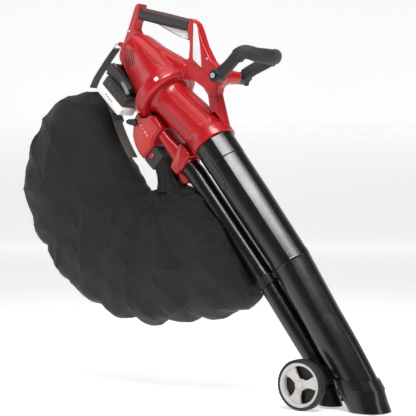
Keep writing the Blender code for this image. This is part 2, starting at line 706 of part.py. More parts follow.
def trigger_room(name):
    """The space that the trigger sweeps, from rest to fully pulled."""
    room = Vector((RUNNING * 1.5, 0, RUNNING * 1.5)).length
    pulled = Matrix.Rotation(-TRIGGER_TURN, 4, "Y")
    spots = []
    for x, z in TRIGGER_OUTLINE:
        here = Vector((x, 0, z))
        turned_spot = TRIGGER_PIVOT + pulled @ (here - TRIGGER_PIVOT)
        for spot in (here, turned_spot):
            out = (spot - Vector((0.03, 0, -0.03))).normalized() * room * 1.6
            spots.append((spot.x + out.x, spot.z + out.z))
    hull = convex_outline(spots)
    return plate(name, hull, -TRIGGER_HALF - RUNNING, TRIGGER_HALF + RUNNING, red)


def convex_outline(spots):
    """The convex outline round a set of flat points."""
    spots = sorted(spots)

    def chain(row):
        out = []
        for p in row:
            while len(out) > 1 and ((out[-1][0] - out[-2][0]) * (p[1] - out[-2][1])
                                    - (out[-1][1] - out[-2][1]) * (p[0] - out[-2][0])) <= 0:
                out.pop()
            out.append(p)
        return out[:-1]

    return chain(spots) + chain(spots[::-1])


def cross_rod(name, point, radius, low, high, material, sides=SMALL_SIDES):
    return rod(name, Vector((point.x, low, point.z)), Vector((point.x, high, point.z)), radius, material, sides)


def make_handle():
    core_grow = -GRIP_SLEEVE - GAP
    for name, sign in (("handle_right", -1), ("handle_left", 1)):
        half = plate(name, rear_post(), -HANDLE_HALF, HANDLE_HALF, red)
        unite(half, plate(name + "_front", front_post(), -HANDLE_HALF, HANDLE_HALF, red),
              grip_rod(name + "_bar", -0.008, GRIP_LENGTH + 0.008, core_grow),
              cross_rod(name + "_hub", AUX_PIVOT, AUX_HUB_RADIUS, -AUX_HUB_HALF, AUX_HUB_HALF, red, SIDES))
        cut(half, half_space(name + "_far", -sign), housing_solid(name + "_housing", -GAP, 0.0),
            fan_cylinder(name + "_fan", FAN_RADIUS + GAP, GAP),
            intake_solid(name + "_cone", RIB_HIGH + GAP),
            collar_solid(name + "_collar", GAP),
            trigger_room(name + "_trigger"),
            pin_room(name + "_pin"),
            cross_rod(name + "_bolt", AUX_PIVOT, AUX_BOLT_RADIUS + GAP, -0.1, 0.1, red),
            plate(name + "_switch", SWITCH_ROOM, -0.0062, 0.0062, red),
            deck_solid(name + "_deck", GAP))
    sleeve = pipe("grip_sleeve", grip_rings(0), grip_rings(-GRIP_SLEEVE), soft_black)
    cut(sleeve, trigger_room("grip_sleeve_trigger"), pin_room("grip_sleeve_pin"))


def grip_rings(grow):
    return [section(GRIP_LEFT + GRIP_DIR * along, GRIP_UP, SIDE, GRIP_HALF_HIGH + grow, GRIP_HALF_WIDE + grow,
                    2.3, SIDES) for along in (GAP, GRIP_LENGTH * 0.5, GRIP_LENGTH - GAP)]


SWITCH = (0.014, 0.030), (-0.0015, 0.0035)
SWITCH_ROOM = [(SWITCH[0][0] - 0.001, -0.014), (SWITCH[0][1] + 0.001, -0.014),
               (SWITCH[0][1] + 0.001, SWITCH[1][1] + 0.001), (SWITCH[0][0] - 0.001, SWITCH[1][1] + 0.001)]


def collar_solid(name, grow):
    radius = COLLAR_RADIUS + grow
    end = COLLAR_START + COLLAR_LENGTH
    return turned(name, [(0, COLLAR_START - 0.03), (radius, COLLAR_START - 0.03), (radius, end + 0.1),
                         (0, end + 0.1)], tube.matrix(), None, 32)


def make_trigger():
    trigger = plate("trigger", TRIGGER_OUTLINE, -TRIGGER_HALF, TRIGGER_HALF, light_grey)
    cut(trigger, cross_rod("trigger_bore", TRIGGER_PIVOT, TRIGGER_PIN + RUNNING / 2, -0.02, 0.02, red))
    cross_rod("trigger_pin", TRIGGER_PIVOT, TRIGGER_PIN, -TRIGGER_PIN_HALF, TRIGGER_PIN_HALF, steel)
    (x0, x1), (z0, z1) = SWITCH
    box("trigger_switch", (x0, -0.005, z0), (x1, 0.005, z1), Matrix(), dark_grey)


TRIM_OUTLINE = ((0.1045, -0.018), (0.1125, -0.024), (0.1180, -0.036), (0.1250, -0.075), (0.1290, -0.117),
                (0.1300, -0.132), (0.1030, -0.111), (0.1040, -0.075))


def make_trims():
    for name, sign in (("post_trim_right", -1), ("post_trim_left", 1)):
        inner, outer = HANDLE_HALF + GAP, HANDLE_HALF + 0.0018
        low, high = sorted((sign * inner, sign * outer))
        plate(name, TRIM_OUTLINE, low, high, light_grey)


def bar_rings(path, radius, sides=SMALL_SIDES):
    """Rings of a round bar along a path, turned as little as possible from one to the next."""
    count = len(path)
    tangents = [(path[min(k + 1, count - 1)] - path[max(k - 1, 0)]).normalized() for k in range(count)]
    first = tangents[0].orthogonal().normalized()
    rings = []
    for k in range(count):
        first = (first - tangents[k] * first.dot(tangents[k])).normalized()
        rings.append(section(path[k], first, tangents[k].cross(first), radius, radius, 2.0, sides))
    return rings


def aux_path():
    reach = AUX_REACH
    bow = Vector((1, 0, -0.25)).normalized() * AUX_BOW
    knots = [(AUX_PIVOT + reach * 0.10, AUX_ARM_HALF), (AUX_PIVOT + reach * 0.40, AUX_ARM_HALF + 0.005),
             (AUX_PIVOT + reach * 0.80, AUX_GRIP_HALF - 0.003), (AUX_PIVOT + reach * 1.02, AUX_GRIP_HALF - 0.010),
             (AUX_PIVOT + reach + bow * 0.72, AUX_GRIP_HALF * 0.56), (AUX_PIVOT + reach + bow, 0)]
    right = [point - SIDE * side for point, side in knots]
    left = [point + SIDE * side for point, side in knots[-2::-1]]
    return smooth_row(right + left, 31)


def make_aux_handle():
    path = aux_path()
    middle = len(path) // 2
    reach = 7
    sleeve = slice(middle - reach, middle + reach + 1)
    handle = loft("aux_handle", bar_rings(path, AUX_TUBE_RADIUS), black)
    for name, sign in (("aux_end_right", -1), ("aux_end_left", 1)):
        low, high = sorted((sign * (AUX_HUB_HALF + GAP), sign * AUX_FACE))
        unite(handle, cross_rod(name, AUX_PIVOT, AUX_HUB_RADIUS - 0.001, low, high, black, SIDES))
    cut(handle, cross_rod("aux_bore", AUX_PIVOT, AUX_BOLT_RADIUS + GAP, -0.1, 0.1, red))
    pipe("aux_grip", bar_rings(path, AUX_TUBE_RADIUS + AUX_SLEEVE)[sleeve],
         bar_rings(path, AUX_TUBE_RADIUS + GAP)[sleeve], soft_black)
    bolt = cross_rod("pivot_bolt", AUX_PIVOT, AUX_BOLT_RADIUS, -AUX_FACE - 0.001, AUX_FACE + 0.010, steel)
    unite(bolt, cross_rod("bolt_head", AUX_PIVOT, 0.0075, -AUX_FACE - GAP - 0.004, -AUX_FACE - GAP, steel, 6))
    make_knob()


def make_knob():
    low, high = AUX_FACE + GAP, AUX_FACE + GAP + KNOB_THICK
    rings = []
    for y, share in ((low, 0.72), (low + 0.003, 1.0), (high - 0.003, 1.0), (high, 0.86)):
        ring = []
        for k in range(30):
            turn = 2 * pi * k / 30
            radius = KNOB_RADIUS * share * (0.86 + 0.14 * cos(5 * turn))
            ring.append(Vector((AUX_PIVOT.x + radius * cos(turn), y, AUX_PIVOT.z + radius * sin(turn))))
        rings.append(ring)
    knob = loft("clamp_knob", rings, black)
    cut(knob, cross_rod("knob_bore", AUX_PIVOT, AUX_BOLT_RADIUS + GAP, low - 0.01, AUX_FACE + 0.011, red))


# ---------------------------------------------------------------- battery packs

DECK = (-0.184, -0.086), (-0.060, -0.036)
DECK_HALF = 0.0660
PACK_TOP = DECK[1][0] - GAP
RAIL_STEM = 0.0080
RAIL_HEAD = 0.0140
RAIL_HIGH = 0.0035
PACK_START = -0.162
SHOE_HIGH = 0.028
BUTTON_SEAT = 0.0032            # how far a pack's release button sits into its case
BUTTON_TRAVEL = 0.0025


def along_block(name, along, fore, side, material):
    """A block given along the fan axis, fore of it and to its left."""
    (a0, a1), (f0, f1), (s0, s1) = along, fore, side
    return box(name, (f0, -s1, a0), (f1, -s0, a1), fan.matrix(), material)


def rail_solid(name, middle, grow, along):
    neck = along_block(name, along, (PACK_TOP - RAIL_HIGH - grow, PACK_TOP + 0.01),
                       (middle - RAIL_STEM - grow, middle + RAIL_STEM + grow), dark_grey)
    head = along_block(name + "_head", along, (PACK_TOP - 2 * RAIL_HIGH - grow, PACK_TOP - RAIL_HIGH + grow),
                       (middle - RAIL_HEAD - grow, middle + RAIL_HEAD + grow), dark_grey)
    return unite(neck, head)


def deck_solid(name, grow=0.0):
    (a0, a1), (f0, f1) = DECK
    half = DECK_HALF + grow
    return along_block(name, (a0 - grow, a1 + grow), (f0 - grow, f1 + grow), (-half, half), dark_grey)


def make_batteries():
    deck = deck_solid("battery_deck")
    cut(deck, housing_solid("battery_deck_housing", -GAP, 0.0))
    for name, sign in (("right", -1), ("left", 1)):
        middle = sign * PACK_SIDE
        unite(deck, rail_solid(f"pack_rail_{name}", middle, 0, (DECK[0][0] + 0.004, DECK[0][1] - 0.004)))
        low, high = middle - PACK_WIDE / 2, middle + PACK_WIDE / 2
        span = (PACK_START, PACK_START + PACK_LENGTH)
        shoe = along_block(f"pack_shoe_{name}", span, (PACK_TOP - SHOE_HIGH, PACK_TOP), (low, high), dark_grey)
        cut(shoe, rail_solid(f"pack_slot_{name}", middle, 0.0005, (span[0] - 0.01, span[1] + 0.01)))
        case_top = PACK_TOP - SHOE_HIGH - GAP
        case_low = PACK_TOP - PACK_HIGH
        case = along_block(f"pack_case_{name}", (span[0] - 0.006, span[1] + 0.006), (case_low, case_top),
                           (low, high), pale)
        notch = along_block(f"pack_notch_{name}", (span[0] - 0.02, span[0] + BUTTON_SEAT + BUTTON_TRAVEL + GAP),
                            (case_top - 0.014, case_top - 0.002), (middle - 0.013, middle + 0.013), red)
        cut(case, notch)
        along_block(f"pack_button_{name}", (span[0] - 0.0085, span[0] + BUTTON_SEAT),
                    (case_top - 0.0134, case_top - 0.0026), (middle - 0.0122, middle + 0.0122), dark_grey)


# ---------------------------------------------------------------- bag and strap

# Stations of the bag from its upper tip round to its lower tip: middle x and z, half of its
# breadth, and the direction of the breadth in degrees.
BAG_STATIONS = ((-0.250, -0.190, 0.034, -180), (-0.276, -0.226, 0.090, -180), (-0.300, -0.312, 0.148, -176),
                (-0.292, -0.430, 0.194, -164), (-0.228, -0.540, 0.198, -148), (-0.126, -0.603, 0.208, -126),
                (-0.004, -0.630, 0.200, -108), (0.106, -0.636, 0.156, -94), (0.192, -0.662, 0.078, -76),
                (0.240, -0.668, 0.024, -62))
BAG_RINGS = 17
BAG_THICK_MOST = 0.098
NECK_PINCH = Vector((0.000, 0, -0.442))   # where the gathered neck meets the bag


def bag_stations():
    """The stations joined by a smooth curve: middle, half breadth and breadth direction."""
    middles = smooth_row([Vector((x, 0, z)) for x, z, _, _ in BAG_STATIONS], BAG_RINGS)
    sizes = smooth_row([Vector((half, radians(degrees))) for _, _, half, degrees in BAG_STATIONS], BAG_RINGS)
    return [(middle, half, Vector((cos(turn), 0, sin(turn)))) for middle, (half, turn) in zip(middles, sizes)]


def bag_rings(inset):
    rings = []
    for middle, half, out in bag_stations():
        thick = min(half * 0.62 + 0.004, BAG_THICK_MOST)
        rings.append(section(middle, out, SIDE, half - inset, thick - inset, 2.2, 28))
    return rings


def neck_rings(inset):
    top = fan.at(ADAPTOR_END + GAP, (ADAPTOR_BACK + ADAPTOR_FORE) / 2)
    half_fore = (ADAPTOR_FORE - ADAPTOR_BACK) / 2
    level = Vector((1, 0, 0))
    lead = fan.down * (0.02 if inset else 0)
    rows = [(top - lead, fan.fore, half_fore, ADAPTOR_HALF, 4.0),
            (top + fan.down * 0.012, (fan.fore * 2 + level).normalized(), half_fore - 0.001, ADAPTOR_HALF - 0.002, 3.0),
            (NECK_PINCH + Vector((0.004, 0, 0.018)), (fan.fore + level * 3).normalized(), 0.022, 0.031, 2.2),
            (NECK_PINCH - Vector((0, 0, 0.016)), level, 0.026, 0.034, 2.0)]
    if inset:
        rows.append((NECK_PINCH - Vector((0, 0, 0.040)), level, 0.026, 0.034, 2.0))
    return [section(p, first, SIDE, a - inset, b - inset, power, SIDES) for p, first, a, b, power in rows]


def make_bag():
    bag = loft("leaf_bag", bag_rings(0), cloth)
    unite(bag, loft("bag_neck", neck_rings(0), cloth))
    inside = bag_rings(BAG_WALL)
    middles = [middle for middle, _, _ in bag_stations()]
    for end, next_in in ((0, 1), (-1, -2)):
        inward = (middles[next_in] - middles[end]).normalized() * BAG_WALL
        inside[end] = [p + inward for p in inside[end]]
    cut(bag, loft("bag_inside", inside, cloth), loft("bag_neck_inside", neck_rings(BAG_WALL), cloth))
    cut(bag, blow_solid("bag_tube_room", 0.003))


STRAP_ROUTE = ((-0.166, -0.066), (-0.196, -0.097), (-0.232, -0.134), (-0.256, -0.156))


def ribbon(name, route, thick, half, material):
    """A flat band of even thickness along a route in the middle plane."""
    points = smooth_row([Vector((x, 0, z)) for x, z in route], 4 * len(route))
    above, below = [], []
    for k, p in enumerate(points):
        ahead = (points[min(k + 1, len(points) - 1)] - points[max(k - 1, 0)]).normalized()
        up = Vector((-ahead.z, 0, ahead.x)) * thick / 2
        above.append((p.x + up.x, p.z + up.z))
        below.append((p.x - up.x, p.z - up.z))
    return plate(name, above + below[::-1], -half, half, material)


def bag_edge(k, lift):
    """A point just off the bag's inner edge at one of its rings."""
    middle, half, out = bag_stations()[k]
    point = middle - out * (half + lift)
    return point.x, point.z


RING_WIRE = 0.0018
RING_REACH = 0.0150
RING_HALF = 0.0190
RING_CORNER = 0.0040
RING_DIR = Vector((-0.69, 0, -0.724)).normalized()
LUG_CENTRE = Vector((-0.1530, 0, -0.0560))
LUG_HALF = 0.0040


def make_straps():
    ribbon("shoulder_strap", STRAP_ROUTE, STRAP_THICK, SHOULDER_HALF, webbing)
    lift = STRAP_THICK / 2 + 0.0035
    edge = [bag_edge(k, lift) for k in range(6)]
    ribbon("bag_edge_strap", edge, STRAP_THICK, STRAP_WIDE / 2, webbing)
    a, b = Vector(bag_edge(2, lift)), Vector(bag_edge(3, lift))
    middle, ahead = (a + b) / 2, (b - a).normalized()
    up = Vector((-ahead.y, ahead.x))
    low, high = STRAP_THICK / 2 + GAP + 0.0006, STRAP_THICK / 2 + 0.0050
    corners = [(-0.014, low), (0.014, low), (0.011, high), (-0.011, high)]
    outline = [tuple(middle + ahead * s + up * t) for s, t in corners]
    plate("strap_buckle", outline, -STRAP_WIDE / 2 - 0.003, STRAP_WIDE / 2 + 0.003, dark_grey)


def make_strap_ring():
    edge_low, edge_high = Vector((-0.147, 0, -0.092)), Vector((-0.130, 0, -0.048))
    ahead = (edge_high - edge_low).normalized()
    out = Vector((-ahead.z, 0, ahead.x))
    foot = (LUG_CENTRE - edge_low).dot(ahead)
    base = edge_low + ahead * foot + out * GAP
    outline = [base - ahead * 0.010, base + ahead * 0.010]
    for k in range(7):
        turn = pi * k / 6
        outline.append(LUG_CENTRE + ahead * 0.0065 * cos(turn) + out * 0.0065 * sin(turn))
    lug = plate("strap_lug", [(p.x, p.z) for p in outline], -LUG_HALF, LUG_HALF, red)
    cut(lug, cross_rod("lug_hole", LUG_CENTRE, RING_WIRE + 0.0010, -0.02, 0.02, red))
    rings = []
    path = ring_path()
    for k, p in enumerate(path):
        ahead = (path[(k + 1) % len(path)] - path[k - 1]).normalized()
        square = RING_DIR.cross(SIDE)
        rings.append(section(p, square, ahead.cross(square), RING_WIRE, RING_WIRE, 2.0, 8))
    loft("strap_ring", rings, steel, looped=True)


def ring_path():
    """A rounded rectangle that hangs from the lug, with its near bar through the lug's hole."""
    path = []
    low, high = RING_CORNER, RING_REACH - RING_CORNER
    reach = RING_HALF - RING_CORNER
    for along, side, start in ((low, -reach, 180), (high, -reach, 270), (high, reach, 0), (low, reach, 90)):
        for k in range(4):
            turn = radians(start + 30 * k)
            path.append(LUG_CENTRE + RING_DIR * (along + RING_CORNER * cos(turn))
                        + SIDE * (side + RING_CORNER * sin(turn)))
    return path


# ---------------------------------------------------------------- brackets, axles and wheels


def suction_solid(name, grow):
    length = lower_length()
    level = Vector((1, 0, 0))
    stretch = 1 / cos(LOWER_LEAN)
    mouth = Vector((NOZZLE_CENTRE_X, 0, GROUND + NOZZLE_LIFT))
    rows = [(tube.at(TUBE_JOINT - 0.1), tube.fore, TUBE_JOINT_RADIUS, TUBE_JOINT_RADIUS, 2.2),
            (joint_point, tube.fore, TUBE_JOINT_RADIUS, TUBE_JOINT_RADIUS, 2.2),
            (lower.at(length * 0.5), lower.fore, (TUBE_JOINT_RADIUS + TUBE_LOW_RADIUS) / 2,
             (TUBE_JOINT_RADIUS + TUBE_LOW_RADIUS) / 2, 2.3),
            (lower.at(length), level, (TUBE_LOW_RADIUS + 0.003) * stretch, TUBE_LOW_RADIUS + 0.003, 2.4),
            (mouth, level, NOZZLE_HALF_DEPTH, NOZZLE_HALF_WIDTH, 2.6)]
    return loft(name, tube_rings(rows, -grow), red)


def blow_solid(name, grow):
    """The whole blow tube as one solid, for what has to stay clear of it."""
    upper, low = blow_rows()
    return loft(name, tube_rings(upper[:-1] + low, -grow), red)


def band(name, start, end, radius, power=2.0):
    ahead = (end - start).normalized()
    rings = [section(p, across(ahead), SIDE, radius, radius, power) for p in (start, end)]
    return loft(name, rings, black)


AXLE = Vector((WHEEL_X, 0, GROUND + WHEEL_RADIUS))
ARM_RADIUS = 0.0095
WHEEL_INNER = WHEEL_SIDE - WHEEL_WIDTH / 2
WHEEL_OUTER = WHEEL_SIDE + WHEEL_WIDTH / 2


def make_brackets():
    clip = band("tube_clip", BLOW_MIDDLE - BLOW_MITRE * 0.013, BLOW_MIDDLE + BLOW_MITRE * 0.013,
                BLOW_RADIUS + 0.0035)
    reach = across(BLOW_MITRE)
    web = [BLOW_MIDDLE + BLOW_MITRE * s + reach * f for s, f in
           ((-0.008, 0.010), (0.008, 0.010), (0.008, 0.062), (-0.008, 0.062))]
    unite(clip, plate("tube_clip_web", [(p.x, p.z) for p in web], -0.012, 0.012, black))
    cut(clip, blow_solid("tube_clip_blow", GAP), suction_solid("tube_clip_suction", GAP))
    start, stop = BLOW_LOW + BLOW_END_DOWN * 0.030, BLOW_LOW + BLOW_END_DOWN * 0.082
    carrier = band("wheel_carrier", start, stop, BLOW_RADIUS + 0.0050)
    web = [start.lerp(stop, s) + across(BLOW_END_DOWN) * f for s, f in
           ((0.1, 0.010), (0.9, 0.010), (0.9, 0.075), (0.1, 0.075))]
    unite(carrier, plate("wheel_carrier_web", [(p.x, p.z) for p in web], -0.016, 0.016, black),
          cross_rod("wheel_carrier_arms", AXLE, ARM_RADIUS, -WHEEL_INNER + 0.0015, WHEEL_INNER - 0.0015, black))
    cut(carrier, blow_solid("wheel_carrier_blow", GAP), suction_solid("wheel_carrier_suction", GAP),
        cross_rod("wheel_carrier_bore", AXLE, AXLE_RADIUS + GAP, -0.1, -0.0335, red),
        cross_rod("wheel_carrier_bore_left", AXLE, AXLE_RADIUS + GAP, 0.0335, 0.1, red))
    hook_at = BLOW_MIDDLE - BLOW_MITRE * 0.028
    back = -across(BLOW_MITRE)
    hook = [hook_at + BLOW_MITRE * s + back * f for s, f in
            ((-0.014, 0.0), (0.014, 0.0), (0.014, BLOW_RADIUS + 0.012), (0.004, BLOW_RADIUS + 0.020),
             (0.000, BLOW_RADIUS + 0.014), (-0.014, BLOW_RADIUS + 0.006))]
    hook_piece = plate("bag_hook", [(p.x, p.z) for p in hook], -0.009, 0.009, black)
    cut(hook_piece, blow_solid("bag_hook_blow", GAP), loft("bag_hook_bag", bag_rings(-0.001), cloth))


def make_wheels():
    for name, sign in (("right", -1), ("left", 1)):
        out = Matrix.Translation(AXLE) @ Matrix.Rotation(radians(90) * -sign, 4, "X")
        low, high = sorted((sign * 0.034, sign * (WHEEL_OUTER + 0.0005)))
        cross_rod(f"axle_{name}", AXLE, AXLE_RADIUS, low, high, steel)
        inner, outer = WHEEL_INNER, WHEEL_OUTER
        rim = HUB_RADIUS
        hub = turned(f"wheel_hub_{name}",
                     [(AXLE_RADIUS + 0.0004, inner), (0.014, inner), (0.014, inner + 0.010), (rim - 0.007, inner + 0.010),
                      (rim - 0.007, inner + 0.001), (rim, inner + 0.001), (rim, outer - 0.0005),
                      (rim - 0.006, outer - 0.0005), (rim - 0.009, outer - 0.003), (AXLE_RADIUS + 0.0004, outer - 0.003)],
                     out, light_grey, 40)
        for k in range(3):
            cut(hub, wheel_window(f"wheel_window_{name}_{k}", k, sign))
        turned(f"tyre_{name}", [(rim + GAP, inner), (WHEEL_RADIUS - 0.002, inner), (WHEEL_RADIUS, inner + 0.003),
                                (WHEEL_RADIUS, outer - 0.003), (WHEEL_RADIUS - 0.002, outer), (rim + GAP, outer)],
               out, rubber, 40)
        turned(f"hub_cap_{name}", [(0, outer + 0.0010), (0.0095, outer + 0.0010), (0.0080, outer + 0.0035),
                                   (0, outer + 0.0035)], out, light_grey, 20)


def wheel_window(name, k, sign):
    """One of the three openings between the wheel's spokes."""
    middle = radians(30 + 120 * k)
    spread = radians(34)
    far, near = HUB_RADIUS - 0.010, 0.026
    corners = []
    for step in range(7):
        turn = middle - spread + 2 * spread * step / 6
        corners.append((AXLE.x + far * cos(turn), AXLE.z + far * sin(turn)))
    corners.append((AXLE.x + near * cos(middle + spread * 0.35), AXLE.z + near * sin(middle + spread * 0.35)))
    corners.append((AXLE.x + near * cos(middle - spread * 0.35), AXLE.z + near * sin(middle - spread * 0.35)))
    low, high = sorted((sign * (WHEEL_INNER - 0.01), sign * (WHEEL_OUTER + 0.01)))
    return plate(name, corners, low, high, light_grey)


SCREW_SPOTS = ((-0.110, -0.024), (0.149, -0.112))


def make_screws():
    for k, (x, z) in enumerate(SCREW_SPOTS):
        spot = Vector((x, 0, z))
        cross_rod(f"handle_screw_{k + 1}", spot, 0.0034, -HANDLE_HALF - 0.0016, -HANDLE_HALF - GAP, steel, 12)


# The selector turns on a shaft across the outlet duct and sends the air to the bag or the blow tube.
SELECTOR_ALONG = -0.024
SELECTOR_FORE = -0.104
SELECTOR_SHAFT = 0.0035


def make_selector():
    centre = fan.at(SELECTOR_ALONG, SELECTOR_FORE)
    shaft = cross_rod("mode_selector", centre, SELECTOR_SHAFT, -DUCT_HALF - 0.004, DUCT_HALF - 0.005, black)
    flap = [flat(SELECTOR_ALONG + a, SELECTOR_FORE + f) for a, f in
            ((-0.001, -0.0018), (0.040, -0.0018), (0.040, 0.0018), (-0.001, 0.0018))]
    lever = [flat(SELECTOR_ALONG + a, SELECTOR_FORE + f) for a, f in
             ((0.007, -0.006), (0.007, 0.006), (-0.006, 0.008), (-0.020, -0.006), (-0.024, -0.016),
              (-0.014, -0.018))]
    unite(shaft, plate("selector_flap", flap, -DUCT_HALF + WALL + 0.002, DUCT_HALF - WALL - 0.003, black),
          plate("selector_lever", lever, -DUCT_HALF - 0.009, -DUCT_HALF - RUNNING, black))
    return cross_rod("selector_hole", centre, SELECTOR_SHAFT + RUNNING, -0.1, 0.0, red)


make_housing()
make_fan_casing()
make_drive()
make_intake()
make_collar()
make_ducts()
make_adaptor()
make_suction_tube()
make_blow_tube()
make_handle()
make_trigger()
make_trims()
make_aux_handle()
make_batteries()
make_bag()
make_straps()
make_strap_ring()
make_brackets()
make_wheels()
make_screws()
cut(bpy.data.objects["outlet_duct"], make_selector())
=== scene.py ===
import math

import bmesh
import bpy
import numpy as np
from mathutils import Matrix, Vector
from mathutils.bvhtree import BVHTree


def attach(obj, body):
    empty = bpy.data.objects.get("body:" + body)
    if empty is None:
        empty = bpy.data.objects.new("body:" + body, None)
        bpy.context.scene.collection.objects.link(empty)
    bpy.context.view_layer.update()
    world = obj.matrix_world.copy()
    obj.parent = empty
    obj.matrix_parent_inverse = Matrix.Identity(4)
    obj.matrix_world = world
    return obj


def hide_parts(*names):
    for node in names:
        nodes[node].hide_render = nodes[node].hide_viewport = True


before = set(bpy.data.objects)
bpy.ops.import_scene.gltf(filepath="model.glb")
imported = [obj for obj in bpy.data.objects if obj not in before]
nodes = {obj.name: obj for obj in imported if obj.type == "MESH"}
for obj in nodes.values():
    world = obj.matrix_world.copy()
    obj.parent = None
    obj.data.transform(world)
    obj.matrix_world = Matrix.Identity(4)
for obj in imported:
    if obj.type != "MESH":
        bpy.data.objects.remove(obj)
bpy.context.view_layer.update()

# The machine's main lines, in metres: origin at the rear grip, +X to the nozzle, +Z up.
lines = {"fanCentre": (0.0238, 0.0, -0.2144), "fanLean": 46.0, "tubeOrigin": (0.0506, 0.0, -0.1919),
         "tubeLean": 38.4, "tubeStart": 0.1663, "tubeJoint": 0.562, "lowerLean": 33.7, "ground": -0.983}
across = np.array([0.0, 1.0, 0.0])


# ------- shapes on grids

def leanAxes(degrees):  # directions down along an axis that leans forward, and square to it
    turn = math.radians(degrees)
    return (np.array([math.sin(turn), 0, -math.cos(turn)]), np.array([math.cos(turn), 0, math.sin(turn)]))


fanDown, fanFore = leanAxes(lines["fanLean"])
tubeDown, tubeFore = leanAxes(lines["tubeLean"])
lowDown, lowFore = leanAxes(lines["lowerLean"])
fanAxes = (fanDown, fanFore, across)
fanCentre = np.array(lines["fanCentre"])
tubeOrigin = np.array(lines["tubeOrigin"])
jointPoint = tubeOrigin + tubeDown * lines["tubeJoint"]


def fanAt(along, fore=0.0, out=0.0):
    # a point given by its distances along the fan axis, fore of it and out from it
    return fanCentre + fanDown * along + fanFore * fore + across * out


def smoothRows(rows, count):
    # Catmull-Rom: each new row is a cubic blend of its four nearest given rows
    rows = np.asarray(rows, float)
    padded = np.vstack([2 * rows[0] - rows[1], rows, 2 * rows[-1] - rows[-2]])
    t = np.linspace(0, len(rows) - 1, count)
    i = np.minimum(t.astype(int), len(rows) - 2)
    u = (t - i)[:, None]
    a, b, c, d = (padded[i + k] for k in range(4))
    return 0.5 * (2 * b + (c - a) * u + (2 * a - 5 * b + 4 * c - d) * u ** 2
                  + (3 * b - a - 3 * c + d) * u ** 3)


def straightRows(rows, count):
    # even steps along the polyline of rows, each column interpolated on its own
    rows = np.asarray(rows, float)
    t = np.linspace(0, len(rows) - 1, count)
    return np.stack([np.interp(t, np.arange(len(rows)), column) for column in rows.T], axis=1)


def superRings(centres, first, second, halfA, halfB, power, count=64):
    # rings on a superellipse: first * a * |cos|^(2/p) + second * b * |sin|^(2/p), signs kept
    turn = np.linspace(0, 2 * np.pi, count, endpoint=False)[None, :]
    shape = 2 / np.broadcast_to(np.asarray(power, float), (len(centres),))[:, None]
    c, s = np.cos(turn), np.sin(turn)
    a = np.broadcast_to(halfA, (len(centres),))[:, None] * np.sign(c) * np.abs(c) ** shape
    b = np.broadcast_to(halfB, (len(centres),))[:, None] * np.sign(s) * np.abs(s) ** shape
    first = np.broadcast_to(first, (len(centres), 3))[:, None, :]
    second = np.broadcast_to(second, (len(centres), 3))[:, None, :]
    return centres[:, None, :] + first * a[..., None] + second * b[..., None]


def capped(grid):
    # a point at the middle of each end ring closes the grid
    return np.concatenate([np.repeat(grid[:1].mean(1, keepdims=True), grid.shape[1], 1), grid,
                           np.repeat(grid[-1:].mean(1, keepdims=True), grid.shape[1], 1)])


def gridMesh(name, grid, loopRows=False, loopColumns=True):
    # one quad for each cell of the grid, with a UV map that counts metres along rows and columns
    rows, columns = grid.shape[:2]
    r = np.arange(rows if loopRows else rows - 1)[:, None]
    c = np.arange(columns if loopColumns else columns - 1)[None, :]
    r2, c2 = (r + 1) % rows, (c + 1) % columns
    quads = np.stack([r * columns + c, r * columns + c2, r2 * columns + c2, r2 * columns + c], -1)
    mesh = bpy.data.meshes.new(name)
    mesh.from_pydata(grid.reshape(-1, 3).tolist(), [], quads.reshape(-1, 4).tolist())
    along = np.linalg.norm(np.diff(grid, axis=0), axis=2).mean(1)
    round_ = np.linalg.norm(np.diff(grid[rows // 2], axis=0), axis=1)
    v = np.concatenate([[0], np.cumsum(along)])
    v = np.append(v, v[-1] + (np.linalg.norm(grid[0] - grid[-1], axis=1).mean() if loopRows else 0))
    u = np.concatenate([[0], np.cumsum(round_)])
    u = np.append(u, u[-1] + np.linalg.norm(grid[rows // 2, 0] - grid[rows // 2, -1]))
    cells = (len(r), c.shape[1])
    ru, cu = np.broadcast_to(r, cells), np.broadcast_to(c, cells)
    uv = np.stack([np.stack([u[cu + i], v[ru + j]], -1) for i, j in ((0, 0), (1, 0), (1, 1), (0, 1))], 2)
    mesh.uv_layers.new(name="UVMap").data.foreach_set("uv", uv.reshape(-1).astype(np.float32))
    return mesh


def tidyMesh(mesh, weld=1e-6, angle=38):
    # doubled points merged, normals outward, edges sharper than the angle kept sharp
    work = bmesh.new()
    work.from_mesh(mesh)
    bmesh.ops.remove_doubles(work, verts=work.verts, dist=weld)
    bmesh.ops.dissolve_degenerate(work, dist=1e-7, edges=work.edges)
    bmesh.ops.recalc_face_normals(work, faces=work.faces)
    work.to_mesh(mesh)
    work.free()
    mesh.shade_smooth()
    if angle:
        mesh.set_sharp_from_angle(angle=math.radians(angle))


def addPiece(name, mesh, material, body="machine", instead=(), angle=38, tidy=True):
    # a visible piece on its body, in a material slot, instead of the CAD nodes it redraws
    if tidy:
        tidyMesh(mesh, angle=angle)
    piece = bpy.data.objects.new(name, mesh)
    bpy.context.scene.collection.objects.link(piece)
    mesh.materials.clear()
    mesh.materials.append(material)
    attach(piece, body)
    if instead:
        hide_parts(*instead)
    return piece


def joined(name, meshes):
    # several meshes as one, each with its own points
    work = bmesh.new()
    for mesh in meshes:
        work.from_mesh(mesh)
    result = bpy.data.meshes.new(name)
    work.to_mesh(result)
    work.free()
    return result


def nodeCopy(name, weld=2e-5):  # a CAD node's mesh with its loose triangles merged
    mesh = nodes[name].data.copy()
    work = bmesh.new()
    work.from_mesh(mesh)
    bmesh.ops.remove_doubles(work, verts=work.verts, dist=weld)
    work.to_mesh(mesh)
    work.free()
    return mesh


